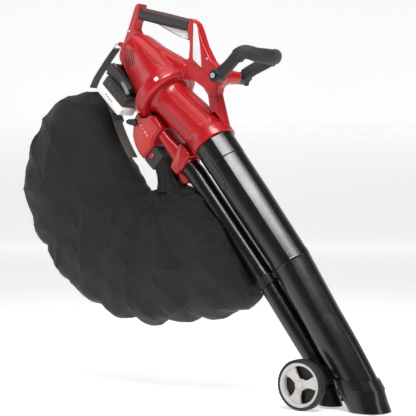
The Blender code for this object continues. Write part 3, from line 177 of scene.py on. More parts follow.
def applied(piece):  # the piece's mesh with its modifiers worked in
    bpy.context.view_layer.update()
    done = bpy.data.meshes.new_from_object(piece.evaluated_get(bpy.context.evaluated_depsgraph_get()))
    piece.modifiers.clear()
    old = piece.data
    piece.data = done
    bpy.data.meshes.remove(old)


def fused(name, meshes, voxel, rounds):  # closed shapes run together, with a moulded fillet where they meet
    piece = bpy.data.objects.new(name, joined(name, meshes))
    bpy.context.scene.collection.objects.link(piece)
    remesh = piece.modifiers.new("fuse", "REMESH")
    remesh.mode = "VOXEL"
    remesh.voxel_size = voxel
    soften = piece.modifiers.new("soften", "SMOOTH")
    soften.factor = 0.5
    soften.iterations = rounds
    applied(piece)
    mesh = piece.data
    bpy.data.objects.remove(piece)
    mesh.shade_smooth()
    return mesh


def sweptGrid(path, halfA, halfB, power=2.0, sides=24, first=None):
    # rings square to the path; their first direction stays as near to the given one as it can
    path = np.asarray(path, float)
    tangent = np.gradient(path, axis=0)
    tangent /= np.linalg.norm(tangent, axis=1, keepdims=True)
    guide = np.array([0.0, 1.0, 0.0]) if first is None else np.asarray(first, float)
    a = guide - tangent * (tangent @ guide)[:, None]
    a /= np.linalg.norm(a, axis=1, keepdims=True)
    return superRings(path, a, np.cross(tangent, a), halfA, halfB, power, sides)


def turnedGrid(profile, origin, axis, sides=64):
    # radius and distance along the axis, carried round it
    profile = np.asarray(profile, float)
    axis = np.asarray(axis, float)
    a = np.cross(axis, [0.3, 0.4, 0.86])
    a /= np.linalg.norm(a)
    b = np.cross(axis, a)
    turn = np.linspace(0, 2 * np.pi, sides, endpoint=False)
    ring = np.cos(turn)[:, None] * a + np.sin(turn)[:, None] * b
    return np.asarray(origin) + profile[:, None, 1:2] * axis + profile[:, None, 0:1] * ring[None]


def barMesh(name, path, *section, **options):  # a closed bar along a path
    return gridMesh(name, capped(sweptGrid(path, *section, **options)))


def ringMesh(name, profile, origin, axis, sides):  # a closed profile carried round an axis
    return gridMesh(name, turnedGrid(profile, origin, axis, sides), loopRows=True)


def rounded(corners, radius, steps=4):
    # each corner of a closed flat outline becomes a quadratic curve between points set back along its sides
    corners = np.asarray(corners, float)
    before, after = np.roll(corners, 1, 0) - corners, np.roll(corners, -1, 0) - corners
    backA = np.linalg.norm(before, axis=1, keepdims=True)
    backB = np.linalg.norm(after, axis=1, keepdims=True)
    start = corners + before / backA * np.minimum(radius, backA * 0.45)
    stop = corners + after / backB * np.minimum(radius, backB * 0.45)
    t = np.linspace(0, 1, steps)[None, :, None]
    curve = start[:, None] * (1 - t) ** 2 + corners[:, None] * 2 * t * (1 - t) + stop[:, None] * t ** 2
    return curve.reshape(-1, corners.shape[1])


def slabMesh(name, outline, low, high, edge, origin=None, axes=None):
    # a flat closed outline drawn out from low to high, with its rim drawn in by edge at both faces
    outline = np.asarray(outline, float)
    middle = outline.mean(0)
    origin = np.zeros(3) if origin is None else np.asarray(origin)
    first, second, out = axes if axes else (np.array([1.0, 0, 0]), np.array([0, 0, 1.0]), across)
    span = np.linalg.norm(outline - middle, axis=1).mean()
    inset = 1 - edge / span
    turn = np.linspace(0, np.pi / 2, 4)
    levels = [(inset + (1 - inset) * math.sin(t), low + edge * (1 - math.cos(t))) for t in turn]
    levels += [(inset + (1 - inset) * math.cos(t), high - edge * (1 - math.sin(t))) for t in turn]
    rings = []
    for share, height in levels:
        flat = middle + (outline - middle) * share
        rings.append(origin + flat[:, :1] * first + flat[:, 1:] * second + height * out)
    return gridMesh(name, capped(np.array(rings)))


# ------- materials

class Value:  # a socket that takes part in sums
    def __init__(self, tree, socket):
        self.tree, self.socket = tree, socket

    def sum(self, operation, other, swapped=False, clamp=False):
        maths = self.tree.nodes.new("ShaderNodeMath")
        maths.operation, maths.use_clamp = operation, clamp
        pair = (other, self) if swapped else (self, other)
        for slotIn, value in zip(maths.inputs, pair):
            if isinstance(value, Value):
                self.tree.links.new(value.socket, slotIn)
            elif value is not None:
                slotIn.default_value = value
        return Value(self.tree, maths.outputs[0])

    def __add__(self, other):
        return self.sum("ADD", other)

    __radd__ = __add__

    def __sub__(self, other):
        return self.sum("SUBTRACT", other)

    def __rsub__(self, other):
        return self.sum("SUBTRACT", other, True)

    def __mul__(self, other):
        return self.sum("MULTIPLY", other)

    __rmul__ = __mul__

    def __truediv__(self, other):
        return self.sum("DIVIDE", other)

    def __pow__(self, other):
        return self.sum("POWER", other)

    def sine(self):
        return self.sum("SINE", None)

    def size(self):
        return self.sum("ABSOLUTE", None)

    def held(self):
        return self.sum("ADD", 0.0, clamp=True)


class Finish:  # one material while its nodes are laid out
    def __init__(self, name, **constants):
        self.material = bpy.data.materials.new(name)
        self.material.use_nodes = True
        self.tree = self.material.node_tree
        self.shader = self.tree.nodes["Principled BSDF"]
        for socket, value in constants.items():
            self.shader.inputs[socket.replace("_", " ")].default_value = value

    def node(self, kind, settings=None, output=0, **values):
        made = self.tree.nodes.new("ShaderNode" + kind)
        for key, value in (settings or {}).items():
            setattr(made, key, value)
        for key, value in values.items():
            key = int(key[1:]) if key[0] == "i" and key[1:].isdigit() else key.replace("_", " ")
            if isinstance(value, Value):
                self.tree.links.new(value.socket, made.inputs[key])
            else:
                made.inputs[key].default_value = value
        return Value(self.tree, made.outputs[output])

    def place(self):
        return self.node("TexCoord", output="Object")

    def mapUv(self):
        return self.node("TexCoord", output="UV")

    def noise(self, scale, detail=4.0, where=None, stretch=None, roughness=0.55):
        where = where or self.place()
        if stretch:
            where = self.node("Mapping", Vector=where, Scale=stretch)
        return self.node("TexNoise", Vector=where, Scale=scale, Detail=detail, Roughness=roughness)

    def mixed(self, share, dark, light):
        return self.node("Mix", {"data_type": "RGBA"}, output=2, i0=share, i6=(*dark, 1), i7=(*light, 1))

    def feed(self, socket, value):
        self.tree.links.new(value.socket, self.shader.inputs[socket])
        return self

    def bump(self, height, distance, strength=1.0):
        raised = self.node("Bump", Height=height, Distance=distance, Strength=strength)
        return self.feed("Normal", raised)


def mouldedPlastic(name, dark, light, rough, grain=2600.0, depth=0.00004, spread=7.0, **constants):
    # colour drifts slowly over the part; roughness follows handling marks; fine spark-eroded grain
    made = Finish(name, **constants)
    drift = made.noise(spread, 3.0)
    marks = made.noise(38.0, 6.0, stretch=(1.0, 1.0, 0.35))
    made.feed("Base Color", made.mixed(drift, dark, light))
    made.feed("Roughness", (marks * 0.16 + (rough - 0.08)).held())
    made.bump(made.noise(grain, 2.0) + marks * 0.4, depth)
    return made.material


def ribbedGrip(name, dark, light, pitch, depth, rough):
    # small square pads: the product of two rectified sines of the UV map
    made = Finish(name, IOR=1.45)
    uv = made.node("SeparateXYZ", Vector=made.mapUv())
    other = made.node("SeparateXYZ", output=1, Vector=made.mapUv())
    squares = ((uv * (math.pi / pitch)).sine().size() * (other * (math.pi / pitch)).sine().size()) ** 0.5
    made.feed("Base Color", made.mixed(squares * 0.7 + made.noise(20.0) * 0.3, dark, light))
    made.feed("Roughness", (1 - squares * 0.18) * rough)
    made.bump(squares + made.noise(1800.0, 2.0) * 0.1, depth)
    return made.material


def wovenCloth(name, dark, light, pitch, depth, rough, **constants):
    # threads in two directions over object coordinates, dusty folds from slow noise
    made = Finish(name, **constants)
    threads = made.node("TexWave", {"bands_direction": "X"}, Vector=made.place(), Scale=0.25 / pitch,
                        Distortion=0.6, Detail=2.0, output="Fac")
    other = made.node("TexWave", {"bands_direction": "Z"}, Vector=made.place(), Scale=0.25 / pitch,
                      Distortion=0.6, Detail=2.0, output="Fac")
    weave = threads * other
    dust = made.noise(9.0, 8.0, roughness=0.62)
    creases = made.noise(34.0, 6.0, roughness=0.7)
    made.feed("Base Color", made.mixed((dust * 0.75 + weave * 0.25 + creases * 0.2 - 0.1).held(), dark,
                                       light))
    made.feed("Roughness", (dust * 0.2 + (rough - 0.1)).held())
    made.bump(weave * 0.25 + creases * 1.3, depth)
    return made.material


def webbingStrap(name, dark, light):
    # close ribs along the strap, cut by the weft
    made = Finish(name, Sheen_Weight=0.25, Sheen_Roughness=0.5)
    u = made.node("SeparateXYZ", Vector=made.mapUv())
    v = made.node("SeparateXYZ", output=1, Vector=made.mapUv())
    ribs = (u * (math.pi / 0.0012)).sine().size() * ((v * (math.pi / 0.0016)).sine().size() * 0.4 + 0.6)
    made.feed("Base Color", made.mixed(ribs * 0.7 + made.noise(40.0) * 0.3, dark, light))
    made.feed("Roughness", 0.9 - ribs * 0.15)
    made.bump(ribs, 0.0004)
    return made.material


def turnedSteel(name, dark, light, rough):
    # noise drawn out along one direction gives brushed colour and roughness
    made = Finish(name, Metallic=1.0)
    brushed = made.noise(90.0, 5.0, stretch=(1.0, 14.0, 1.0))
    made.feed("Base Color", made.mixed(brushed, dark, light))
    made.feed("Roughness", brushed * 0.2 + rough)
    made.bump(brushed, 0.00003)
    return made.material


red = mouldedPlastic("red shell", (0.31, 0.0024, 0.006), (0.44, 0.005, 0.009), 0.32, depth=0.00002,
                     Coat_Weight=0.2, Coat_Roughness=0.14, Specular_IOR_Level=0.4)
darkRed = mouldedPlastic("red side panel", (0.40, 0.018, 0.016), (0.54, 0.034, 0.026), 0.42)
glossBlack = mouldedPlastic("black tube", (0.0025, 0.0025, 0.0030), (0.006, 0.006, 0.007), 0.27,
                            grain=420.0, depth=0.00002, Specular_IOR_Level=0.5)
satinBlack = mouldedPlastic("black fittings", (0.005, 0.005, 0.006), (0.014, 0.013, 0.014), 0.42,
                            Specular_IOR_Level=0.35)
softBlack = mouldedPlastic("soft grip", (0.012, 0.011, 0.012), (0.036, 0.034, 0.036), 0.55, grain=1500.0,
                           depth=0.00012)
padGrip = ribbedGrip("padded grip", (0.004, 0.004, 0.005), (0.018, 0.018, 0.020), 0.0042, 0.0007, 0.58)
darkGrey = mouldedPlastic("dark grey plastic", (0.014, 0.013, 0.014), (0.034, 0.032, 0.034), 0.42,
                          Specular_IOR_Level=0.4)
# mid-grey that paints the highlight along the dark deck rail
deckHighlightGrey = mouldedPlastic("deck highlight stripe", (0.13, 0.13, 0.135), (0.22, 0.22, 0.225), 0.35)
lightGrey = mouldedPlastic("light grey plastic", (0.60, 0.59, 0.58), (0.74, 0.73, 0.72), 0.40)
wheelGrey = mouldedPlastic("wheel plastic", (0.46, 0.44, 0.42), (0.60, 0.58, 0.55), 0.48, depth=0.00008)
packGrey = mouldedPlastic("pack case", (0.70, 0.68, 0.65), (0.84, 0.82, 0.79), 0.5)
bagCloth = wovenCloth("bag cloth", (0.0012, 0.0014, 0.0012), (0.010, 0.0105, 0.009), 0.0011, 0.0050, 0.52,
                      Specular_IOR_Level=0.42)
strapWeb = webbingStrap("webbing", (0.018, 0.016, 0.015), (0.060, 0.054, 0.050))
paleWeb = webbingStrap("bag edge binding", (0.10, 0.09, 0.08), (0.24, 0.22, 0.20))
tyreRubber = mouldedPlastic("tyre", (0.006, 0.006, 0.007), (0.018, 0.017, 0.018), 0.66, grain=900.0,
                            depth=0.0002)
steel = turnedSteel("steel", (0.42, 0.42, 0.43), (0.62, 0.62, 0.63), 0.25)
motorMetal = turnedSteel("motor metal", (0.30, 0.28, 0.26), (0.46, 0.44, 0.40), 0.35)
boardGreen = mouldedPlastic("board", (0.01, 0.08, 0.03), (0.02, 0.14, 0.05), 0.45)
darkVoid = mouldedPlastic("vent shade", (0.004, 0.001, 0.001), (0.012, 0.003, 0.003), 0.8)
print("materials done")


def dress(name, material):  # a CAD node that keeps its own shape takes one finish
    mesh = nodes[name].data
    mesh.materials.clear()
    mesh.materials.append(material)


for name in ("strap_lug", "bag_release_button"):
    dress(name, red)
for name in ("tube_clip", "wheel_carrier", "bag_hook", "mode_selector", "clamp_knob", "impeller"):
    dress(name, satinBlack)
for name in ("bag_adaptor", "trigger_switch"):
    dress(name, darkGrey)
for name in ("axle_left", "axle_right", "pivot_bolt", "handle_screw_1", "handle_screw_2", "strap_ring",
             "motor_shaft", "shaft_bearing", "impeller_nut", "trigger_pin"):
    dress(name, steel)
dress("motor_can", motorMetal)
dress("control_board", boardGreen)


# ------- red body

housing = {"stations": ((-0.208, 0.019, 0.030, 0.026), (-0.204, 0.018, 0.036, 0.038),
                        (-0.190, 0.016, 0.050, 0.049), (-0.150, 0.0165, 0.0585, 0.057),
                        (-0.110, 0.0165, 0.0650, 0.065), (-0.076, 0.0125, 0.0695, 0.073),
                        (-0.048, 0.0110, 0.0740, 0.079)),
           "power": 2.35, "voxel": 0.0019, "rounds": 5}


def housingMesh():
    # along the fan axis: middle and half height fore of it, and half width, smoothly joined
    rows = smoothRows(housing["stations"], 40)
    centres = fanCentre + rows[:, :1] * fanDown + rows[:, 1:2] * fanFore
    return gridMesh("housing", capped(superRings(centres, fanFore, across, rows[:, 2], rows[:, 3],
                                                 housing["power"])))


ridge = {"path": ((-0.100, -0.050), (-0.072, -0.068), (-0.030, -0.084), (0.030, -0.118), (0.075, -0.140)),
         "halfWide": (0.017, 0.026, 0.030, 0.030, 0.024), "halfHigh": (0.020, 0.022, 0.022, 0.026, 0.024)}


def ridgeMesh():
    # a bar over the housing, with half sizes that change smoothly along its path
    rows = smoothRows([(x, 0, z, w, h) for (x, z), w, h
                       in zip(ridge["path"], ridge["halfWide"], ridge["halfHigh"])], 30)
    return barMesh("ridge", rows[:, :3], rows[:, 3], rows[:, 4], 2.3, 40)


def makeBody():
    # housing, ridge and both CAD handle halves, fused by a voxel remesh and smoothed
    shapes = [housingMesh(), ridgeMesh(), nodeCopy("handle_left"), nodeCopy("handle_right")]
    mesh = fused("body shell", shapes, housing["voxel"], housing["rounds"])
    return addPiece("body_shell", mesh, red, tidy=False,
                    instead=("motor_housing_left", "motor_housing_right", "handle_left", "handle_right"))


bodyShell = makeBody()
print("body shell done", len(bodyShell.data.polygons))


def surfaceHits(piece, spots, out):
    # rays from far out on one side, straight in, onto the piece
    corners = [vertex.co for vertex in piece.data.vertices]
    tree = BVHTree.FromPolygons(corners, [face.vertices[:] for face in piece.data.polygons])
    hits = []
    for x, z in spots:
        hit, normal, _, _ = tree.ray_cast(Vector((x, out * 0.4, z)), Vector((0, -out, 0)))
        if hit:
            hits.append((np.array(hit), np.array(normal)))
    return hits


seams = {"half": 0.00055, "routes": (((-0.112, -0.100), (-0.086, -0.118), (-0.060, -0.150),
                                      (-0.034, -0.196)),
                                     ((-0.098, -0.052), (-0.060, -0.076), (-0.010, -0.098),
                                      (0.036, -0.130)),
                                     ((0.088, -0.118), (0.124, -0.134), (0.166, -0.166), (0.186, -0.190)),
                                     ((0.100, -0.020), (0.108, -0.070), (0.110, -0.112)),
                                     ((0.150, -0.206), (0.178, -0.214), (0.186, -0.204)))}


def makeSeams():
    # thin bars along routes dropped onto both sides of the shell
    meshes = []
    for route in seams["routes"]:
        spots = smoothRows(route, 40)
        for out in (-1, 1):
            hits = surfaceHits(bodyShell, spots, out)
            if len(hits) > 3:
                path = np.array([spot for spot, _ in hits])
                meshes.append(barMesh("seam", path, seams["half"], seams["half"], sides=8))
    addPiece("shell_seams", joined("shell seams", meshes), darkVoid)


makeSeams()

creases = {"half": 0.0016, "routes": (((-0.084, -0.040), (-0.060, -0.075), (-0.030, -0.115),
                                       (-0.002, -0.156)),
                                      ((-0.046, -0.070), (-0.022, -0.094), (0.004, -0.112),
                                       (0.032, -0.128)),
                                      ((-0.108, -0.070), (-0.100, -0.115), (-0.078, -0.158),
                                       (-0.052, -0.196)))}


def makeCreases():
    # low rounded ribs that follow the shell's side
    meshes = []
    for route in creases["routes"]:
        for out in (-1, 1):
            hits = surfaceHits(bodyShell, smoothRows(route, 60), out)
            path = smoothRows(np.array([spot for spot, _ in hits])[::6], 80)
            ends = np.clip(np.minimum(np.arange(80), np.arange(80)[::-1]) / 12, 0.15, 1)
            meshes.append(barMesh("crease", path, creases["half"] * ends, 0.0022 * ends, 2.2, 16))
    addPiece("shell_creases", joined("shell creases", meshes), red)


makeCreases()

vents = {"count": 5, "first": (-0.088, -0.098), "step": (0.0068, -0.0008), "lean": (0.015, -0.048),
         "half": 0.0013}


def makeVents():
    # parallel slots at equal steps, each a bar sunk a little into the shell
    meshes = []
    for k in range(vents["count"]):
        start = np.array(vents["first"]) + np.array(vents["step"]) * k
        spots = start + np.linspace(-0.5, 0.5, 14)[:, None] * np.array(vents["lean"]) * (1.05 - 0.05 * k)
        for out in (-1, 1):
            hits = surfaceHits(bodyShell, spots, out)
            path = np.array([spot - normal * 0.0004 for spot, normal in hits])
            meshes.append(barMesh("vent", path, vents["half"], vents["half"], 2.6, 12))
    addPiece("vent_slots", joined("vent slots", meshes), darkVoid)


makeVents()

casing = {"radius": 0.088, "back": -0.052, "front": -0.012, "backRound": 0.006, "frontRound": 0.012,
          "groove": (-0.0388, -0.0384, -0.0374, -0.0370), "grooveDeep": 0.0007, "hole": 0.030,
          "step": 0.002}


def makeCasing():
    # an outline of radius and distance along the fan axis with quarter-round rims
    r, back, front = casing["radius"], casing["back"], casing["front"]
    turn = np.linspace(0, np.pi / 2, 7)
    a, b = casing["backRound"], casing["frontRound"]
    deep, hole, step = casing["grooveDeep"], casing["hole"], front - casing["step"]
    rim = [(hole, back), (r - 0.018, back)]
    rim += [(r - a + a * math.sin(t), back + a - a * math.cos(t)) for t in turn]
    rim += list(zip((r, r - deep, r - deep, r), casing["groove"]))
    rim += [(r - b + b * math.cos(t), front - b + b * math.sin(t)) for t in turn]
    rim += [(r - b - 0.006, front), (r - b - 0.008, step), (0.058, step), (hole, step)]
    mesh = gridMesh("fan casing", capped(turnedGrid(rim, fanCentre, fanDown, 96)))
    addPiece("fan_casing", mesh, red,
             instead=("fan_casing_front", "fan_casing_rear"))


makeCasing()

cone = {"top": 0.0500, "low": 0.0565, "end": 0.1497, "flare": 0.010, "ribs": 11, "spread": 2.75,
        "rib": 0.0030, "sharp": 0.055}


def makeCone():
    # the centre runs straight while the rings turn from square to the fan to square to the tube;
    # ribs are raised cosine bumps on the radius, faded out at both ends
    share = np.linspace(0, 1, 60)
    start, stop = fanAt(casing["front"] - 0.003), tubeOrigin + tubeDown * cone["end"]
    centres = start + (stop - start) * share[:, None]
    lean = np.radians(lines["fanLean"] + (lines["tubeLean"] - lines["fanLean"]) * share)
    fore = np.stack([np.cos(lean), 0 * lean, np.sin(lean)], 1)
    turn = np.linspace(-np.pi, np.pi, 360, endpoint=False)
    radius = cone["top"] + (cone["low"] - cone["top"]) * share + cone["flare"] * np.exp(-share / 0.06)
    ribAt = np.linspace(-cone["spread"], cone["spread"], cone["ribs"])
    bumps = np.exp(-((turn[None, :] - ribAt[:, None]) / cone["sharp"]) ** 4).sum(0)[None, :]
    fade = np.clip((share - 0.08) / 0.03, 0, 1) * np.clip((0.93 - share) / 0.04, 0, 1)
    radius = radius[:, None] + cone["rib"] * bumps * fade[:, None]
    ring = np.cos(turn)[None, :, None] * fore[:, None] + np.sin(turn)[None, :, None] * across
    mesh = gridMesh("intake cone", capped(centres[:, None] + ring * radius[..., None]))
    addPiece("intake_cone_shell", mesh, red, instead=("intake_cone",))


makeCone()

collar = {"start": 0.149, "end": 0.180, "radius": 0.0598, "flangeHalf": 0.031,
          "flange": ((0.112, -0.046), (0.160, -0.050), (0.164, -0.117), (0.134, -0.118))}


def makeCollar():
    # a turned ring with a groove and a swollen lip, and a slab of the flange's outline above it
    s, e, r, half = collar["start"], collar["end"], collar["radius"], collar["flangeHalf"]
    rim = [(0.050, s), (r - 0.003, s), (r - 0.0008, s + 0.0015), (r, s + 0.004), (r, s + 0.011),
           (r - 0.0012, s + 0.012), (r - 0.0012, s + 0.014), (r + 0.0004, s + 0.015),
           (r + 0.0008, e - 0.004), (r + 0.0002, e - 0.001), (r - 0.002, e), (0.0535, e),
           (0.0525, e - 0.004)]
    ring = ringMesh("collar", rim, tubeOrigin, tubeDown, 96)
    flange = slabMesh("flange", rounded(collar["flange"], 0.008), -half, half, 0.004, fanCentre, fanAxes)
    addPiece("collar_ring", joined("collar ring", [ring, flange]), red,
             instead=("tube_collar",))


makeCollar()

duct = {"outline": ((-0.040, -0.080), (-0.036, -0.105), (-0.009, -0.138), (0.014, -0.150), (0.038, -0.1565),
                    (0.0615, -0.1575), (0.0615, -0.1095), (0.0500, -0.094), (0.0500, -0.056),
                    (0.010, -0.050), (-0.006, -0.058), (-0.010, -0.080)),
        "half": 0.0428, "panel": ((-0.030, -0.096), (-0.007, -0.131), (0.014, -0.1435), (0.038, -0.150),
                                  (0.055, -0.1505), (0.055, -0.113), (0.044, -0.098), (0.044, -0.064),
                                  (0.000, -0.064)),
        "marks": (0.004, 0.0055, 0.0035, 0.006, 0.0045), "firstMark": (-0.020, -0.094),
        "markStep": (0.0115, -0.0018)}


def makeDuct():
    # a slab of the outline, with a thin slab on each side and a row of dashes on it
    mesh = slabMesh("outlet duct", rounded(duct["outline"], 0.006), -duct["half"], duct["half"], 0.004,
                    fanCentre, fanAxes)
    addPiece("outlet_duct_shell", mesh, red, instead=("outlet_duct",))
    panels = []
    for out in (-1, 1):
        low, high = sorted((out * duct["half"], out * (duct["half"] + 0.0014)))
        panels.append(slabMesh("duct panel", rounded(duct["panel"], 0.006), low, high, 0.0007, fanCentre,
                               fanAxes))
    addPiece("duct_side_panels", joined("duct side panels", panels), darkRed)
    marks = []
    for k, long in enumerate(duct["marks"]):
        spot = [first + k * step for first, step in zip(duct["firstMark"], duct["markStep"])]
        mark = [spot, (spot[0] + long, spot[1] - 0.0006), (spot[0] + long, spot[1] - 0.0026),
                (spot[0], spot[1] - 0.0020)]
        for out in (-1, 1):
            low, high = sorted((out * (duct["half"] + 0.001), out * (duct["half"] + 0.0019)))
            marks.append(slabMesh("duct mark", mark, low, high, 0.0003, fanCentre, fanAxes))
    addPiece("duct_marks", joined("duct marks", marks), lightGrey)


makeDuct()

blowDuct = {"start": 0.0502, "end": 0.166, "head": -0.0760, "foot": -0.0860, "small": (0.017, 0.034),
            "large": 0.0296, "clawHalf": 0.011,
            "claw": ((0.138, -0.110), (0.150, -0.118), (0.166, -0.130), (0.182, -0.130),
                                      (0.194, -0.119), (0.188, -0.104), (0.148, -0.100))}


def makeBlowDuct():
    # flat at the duct, round at the tube: both half sizes and the superellipse power run evenly between
    share = np.linspace(0, 1, 40)
    soft = share * share * (3 - 2 * share)
    along = blowDuct["start"] + (blowDuct["end"] - blowDuct["start"]) * share
    fore = blowDuct["head"] + (blowDuct["foot"] - blowDuct["head"]) * share
    centres = fanCentre + along[:, None] * fanDown + fore[:, None] * fanFore
    a = blowDuct["small"][0] + (blowDuct["large"] - blowDuct["small"][0]) * soft
    b = blowDuct["small"][1] + (blowDuct["large"] - blowDuct["small"][1]) * soft
    lip = 0.0012 * (share > 0.93)
    body = gridMesh("blow duct", capped(superRings(centres, fanFore, across, a + lip, b + lip,
                                                   3.2 - 1.2 * share)))
    claw = slabMesh("claw", rounded(blowDuct["claw"], 0.004), -blowDuct["clawHalf"], blowDuct["clawHalf"],
                    0.002, fanCentre, fanAxes)
    addPiece("blow_duct_shell", joined("blow duct shell", [body, claw]), red,
             instead=("blow_duct",))


makeBlowDuct()
print("red parts done")

# ------- tubes

facet = {"first": 22.0, "last": 62.0, "wall": 0.0024, "flat": 0.5}


def facetShape(turn):
    # a flat chord between two angles on each side of the front, with the round left elsewhere
    middle = math.radians((facet["first"] + facet["last"]) / 2)
    half = math.radians((facet["last"] - facet["first"]) / 2)
    away = np.abs(np.abs(turn) - middle)
    chord = math.cos(half) / np.cos(np.minimum(away, half))
    return 1 - (1 - chord) * facet["flat"]


def tubeGrid(rows, rowCount, sides, shape, relief=None):
    # straight between the given rows: centre, first direction, two half sizes; shape and relief set the
    # radius
    rows = straightRows([np.concatenate([c, f, [a, b]]) for c, f, a, b in rows], rowCount)
    turn = np.linspace(-np.pi, np.pi, sides, endpoint=False)
    share = np.linspace(0, 1, rowCount)[:, None]
    first = rows[:, 3:6] / np.linalg.norm(rows[:, 3:6], axis=1, keepdims=True)
    scale = 1 + (shape(turn)[None, :] - 1) * np.ones((rowCount, 1))
    fore = first[:, None] * np.cos(turn)[None, :, None] * rows[:, None, 6:7]
    side = across * np.sin(turn)[None, :, None] * rows[:, None, 7:8]
    outer = rows[:, None, :3] + (fore + side) * scale[..., None]
    if relief is not None:
        out = outer - rows[:, None, :3]
        out /= np.linalg.norm(out, axis=2, keepdims=True)
        outer = outer + out * relief(share, turn[None, :])[..., None]
    inner = rows[:, None, :3] + (outer - rows[:, None, :3]) * (1 - facet["wall"] / 0.05)
    return np.concatenate([outer, inner[::-1]])


upperTube = {"step": 0.075, "stepHigh": 0.0009, "groove": (0.045, 0.150), "grooveAt": -108.0,
             "grooveDeep": 0.0035}


def makeUpperTube():
    # two half sizes that narrow downwards, a sleeve that ends in a soft step, a side groove
    length = lines["tubeJoint"] - lines["tubeStart"]
    top, stop = tubeOrigin + tubeDown * lines["tubeStart"], jointPoint - tubeDown * 0.0002
    middle = tubeOrigin + tubeDown * (lines["tubeStart"] + 0.2)

    def relief(share, turn):
        run = share * length
        sleeve = upperTube["stepHigh"] * (1 / (1 + np.exp((run - upperTube["step"]) / 0.0006)))
        start, end = upperTube["groove"]
        inRun = np.clip((run - start) / 0.006, 0, 1) * np.clip((end - run) / 0.02, 0, 1)
        away = (np.abs(turn) - math.radians(-upperTube["grooveAt"])) / math.radians(11)
        lip = upperTube["stepHigh"] * 1.2 * np.clip((run - length + 0.014) / 0.001, 0, 1)
        return sleeve - upperTube["grooveDeep"] * inRun * np.exp(-away ** 4) + lip

    rows = [(top, tubeFore, 0.053, 0.053), (middle, tubeFore, 0.053, 0.053), (stop, tubeFore, 0.050, 0.050)]
    mesh = gridMesh("upper suction tube", tubeGrid(rows, 400, 180, facetShape, relief), loopRows=True)
    addPiece("suction_tube_upper_shell", mesh, glossBlack,
             instead=("suction_tube_upper",), angle=30)


makeUpperTube()

nozzleShape = {"top": -0.905, "collar": 0.024, "lowRadius": 0.0465, "mouthX": 0.6220, "mouthLift": 0.002,
               "half": (0.048, 0.051), "power": 2.45}
stretch = 1 / math.cos(math.radians(lines["lowerLean"]))
lowerLength = (jointPoint[2] - nozzleShape["top"]) * stretch
level = np.array([1.0, 0.0, 0.0])


def makeLowerTube():
    # round to the mouth, where a level cut makes the ring longer by one over the cosine
    low = nozzleShape["lowRadius"]
    rows = [(jointPoint + tubeDown * 0.0002, tubeFore, 0.050, 0.050),
            (jointPoint + lowDown * lowerLength / 2, lowFore, (0.05 + low) / 2, (0.05 + low) / 2),
            (jointPoint + lowDown * (lowerLength - 0.0003), level, low * stretch, low)]

    def relief(share, turn):
        ring = np.exp(-((share - 0.012) / 0.006) ** 4) * 0.0007
        return ring + 0 * turn

    mesh = gridMesh("lower suction tube", tubeGrid(rows, 160, 180, facetShape, relief), loopRows=True)
    addPiece("suction_tube_lower_shell", mesh, glossBlack,
             instead=("suction_tube_lower",), angle=30)


makeLowerTube()


def makeNozzle():
    # a collar, then a superellipse whose radius is (|cos|^p + |sin|^p)^(-1/p)
    low = nozzleShape["lowRadius"]
    top = jointPoint + lowDown * lowerLength
    mouth = np.array([nozzleShape["mouthX"], 0, lines["ground"] + nozzleShape["mouthLift"]])
    share = nozzleShape["collar"] / (nozzleShape["top"] - lines["ground"])
    atCollar = top + (mouth - top) * share
    rows = [(top, level, low * stretch + 0.0018, low + 0.0028),
            (atCollar, level, low * stretch + 0.0042, low + 0.0046),
            (atCollar - np.array([0, 0, 0.001]), level, low * stretch + 0.0022, low + 0.0026),
            (mouth + (atCollar - mouth) * 0.5, level, 0.0515, 0.050), (mouth, level, *nozzleShape["half"])]
    power = nozzleShape["power"]

    def squarish(turn):
        return (np.abs(np.cos(turn)) ** power + np.abs(np.sin(turn)) ** power) ** (-1 / power)

    mesh = gridMesh("nozzle", tubeGrid(rows, 90, 160, squarish), loopRows=True)
    addPiece("nozzle_shell", mesh, glossBlack, instead=("nozzle",), angle=30)


makeNozzle()

blowTube = {"radius": 0.0265, "top": (0.090, 0, -0.394), "middle": (0.328, 0, -0.683),
            "low": (0.461, 0, -0.860), "end": (0.512, 0, -0.977)}


def unit(vector):
    # the vector over its length
    return np.asarray(vector, float) / np.linalg.norm(vector)


def squareTo(direction):
    # a quarter turn in the machine plane
    return np.array([-direction[2], 0, direction[0]])


def makeBlowTubes():
    # round tubes that meet on the plane halfway between their directions
    top, middle, low, end = (np.array(blowTube[key]) for key in ("top", "middle", "low", "end"))
    r = blowTube["radius"]
    upperDown, lowerDown = unit(middle - top), unit(low - middle)
    mitre = unit(upperDown + lowerDown)
    endDown = unit(lowerDown + unit((0.25, 0, -1)))
    start = fanAt(0.1663, -0.0860)
    plain = np.ones_like

    def lip(share, turn):
        return 0.0009 * (share > 0.955) + 0 * turn

    rows = [(start, fanFore, r, r), (top + upperDown * 0.02, squareTo(upperDown), r, r),
            (middle - mitre * 0.0002, squareTo(mitre), r, r)]
    mesh = gridMesh("upper blow tube", tubeGrid(rows, 120, 72, plain, lip), loopRows=True)
    addPiece("blow_tube_upper_shell", mesh, glossBlack,
             instead=("blow_tube_upper",))
    rows = [(middle + mitre * 0.0002, squareTo(mitre), r, r), (low, squareTo(endDown), r, r),
            (end, level, r * 1.15, r * 1.05)]
    mesh = gridMesh("lower blow tube", tubeGrid(rows, 90, 72, plain), loopRows=True)
    addPiece("blow_tube_lower_shell", mesh, glossBlack,
             instead=("blow_tube_lower",))


makeBlowTubes()
print("tubes done")

# ------- handles

grip = {"start": (-0.078, 0, 0.0215), "end": (0.086, 0, -0.0215), "high": 0.0165, "wide": 0.0170,
        "bead": 0.0008, "beadLift": 0.62, "beadOut": 0.80}


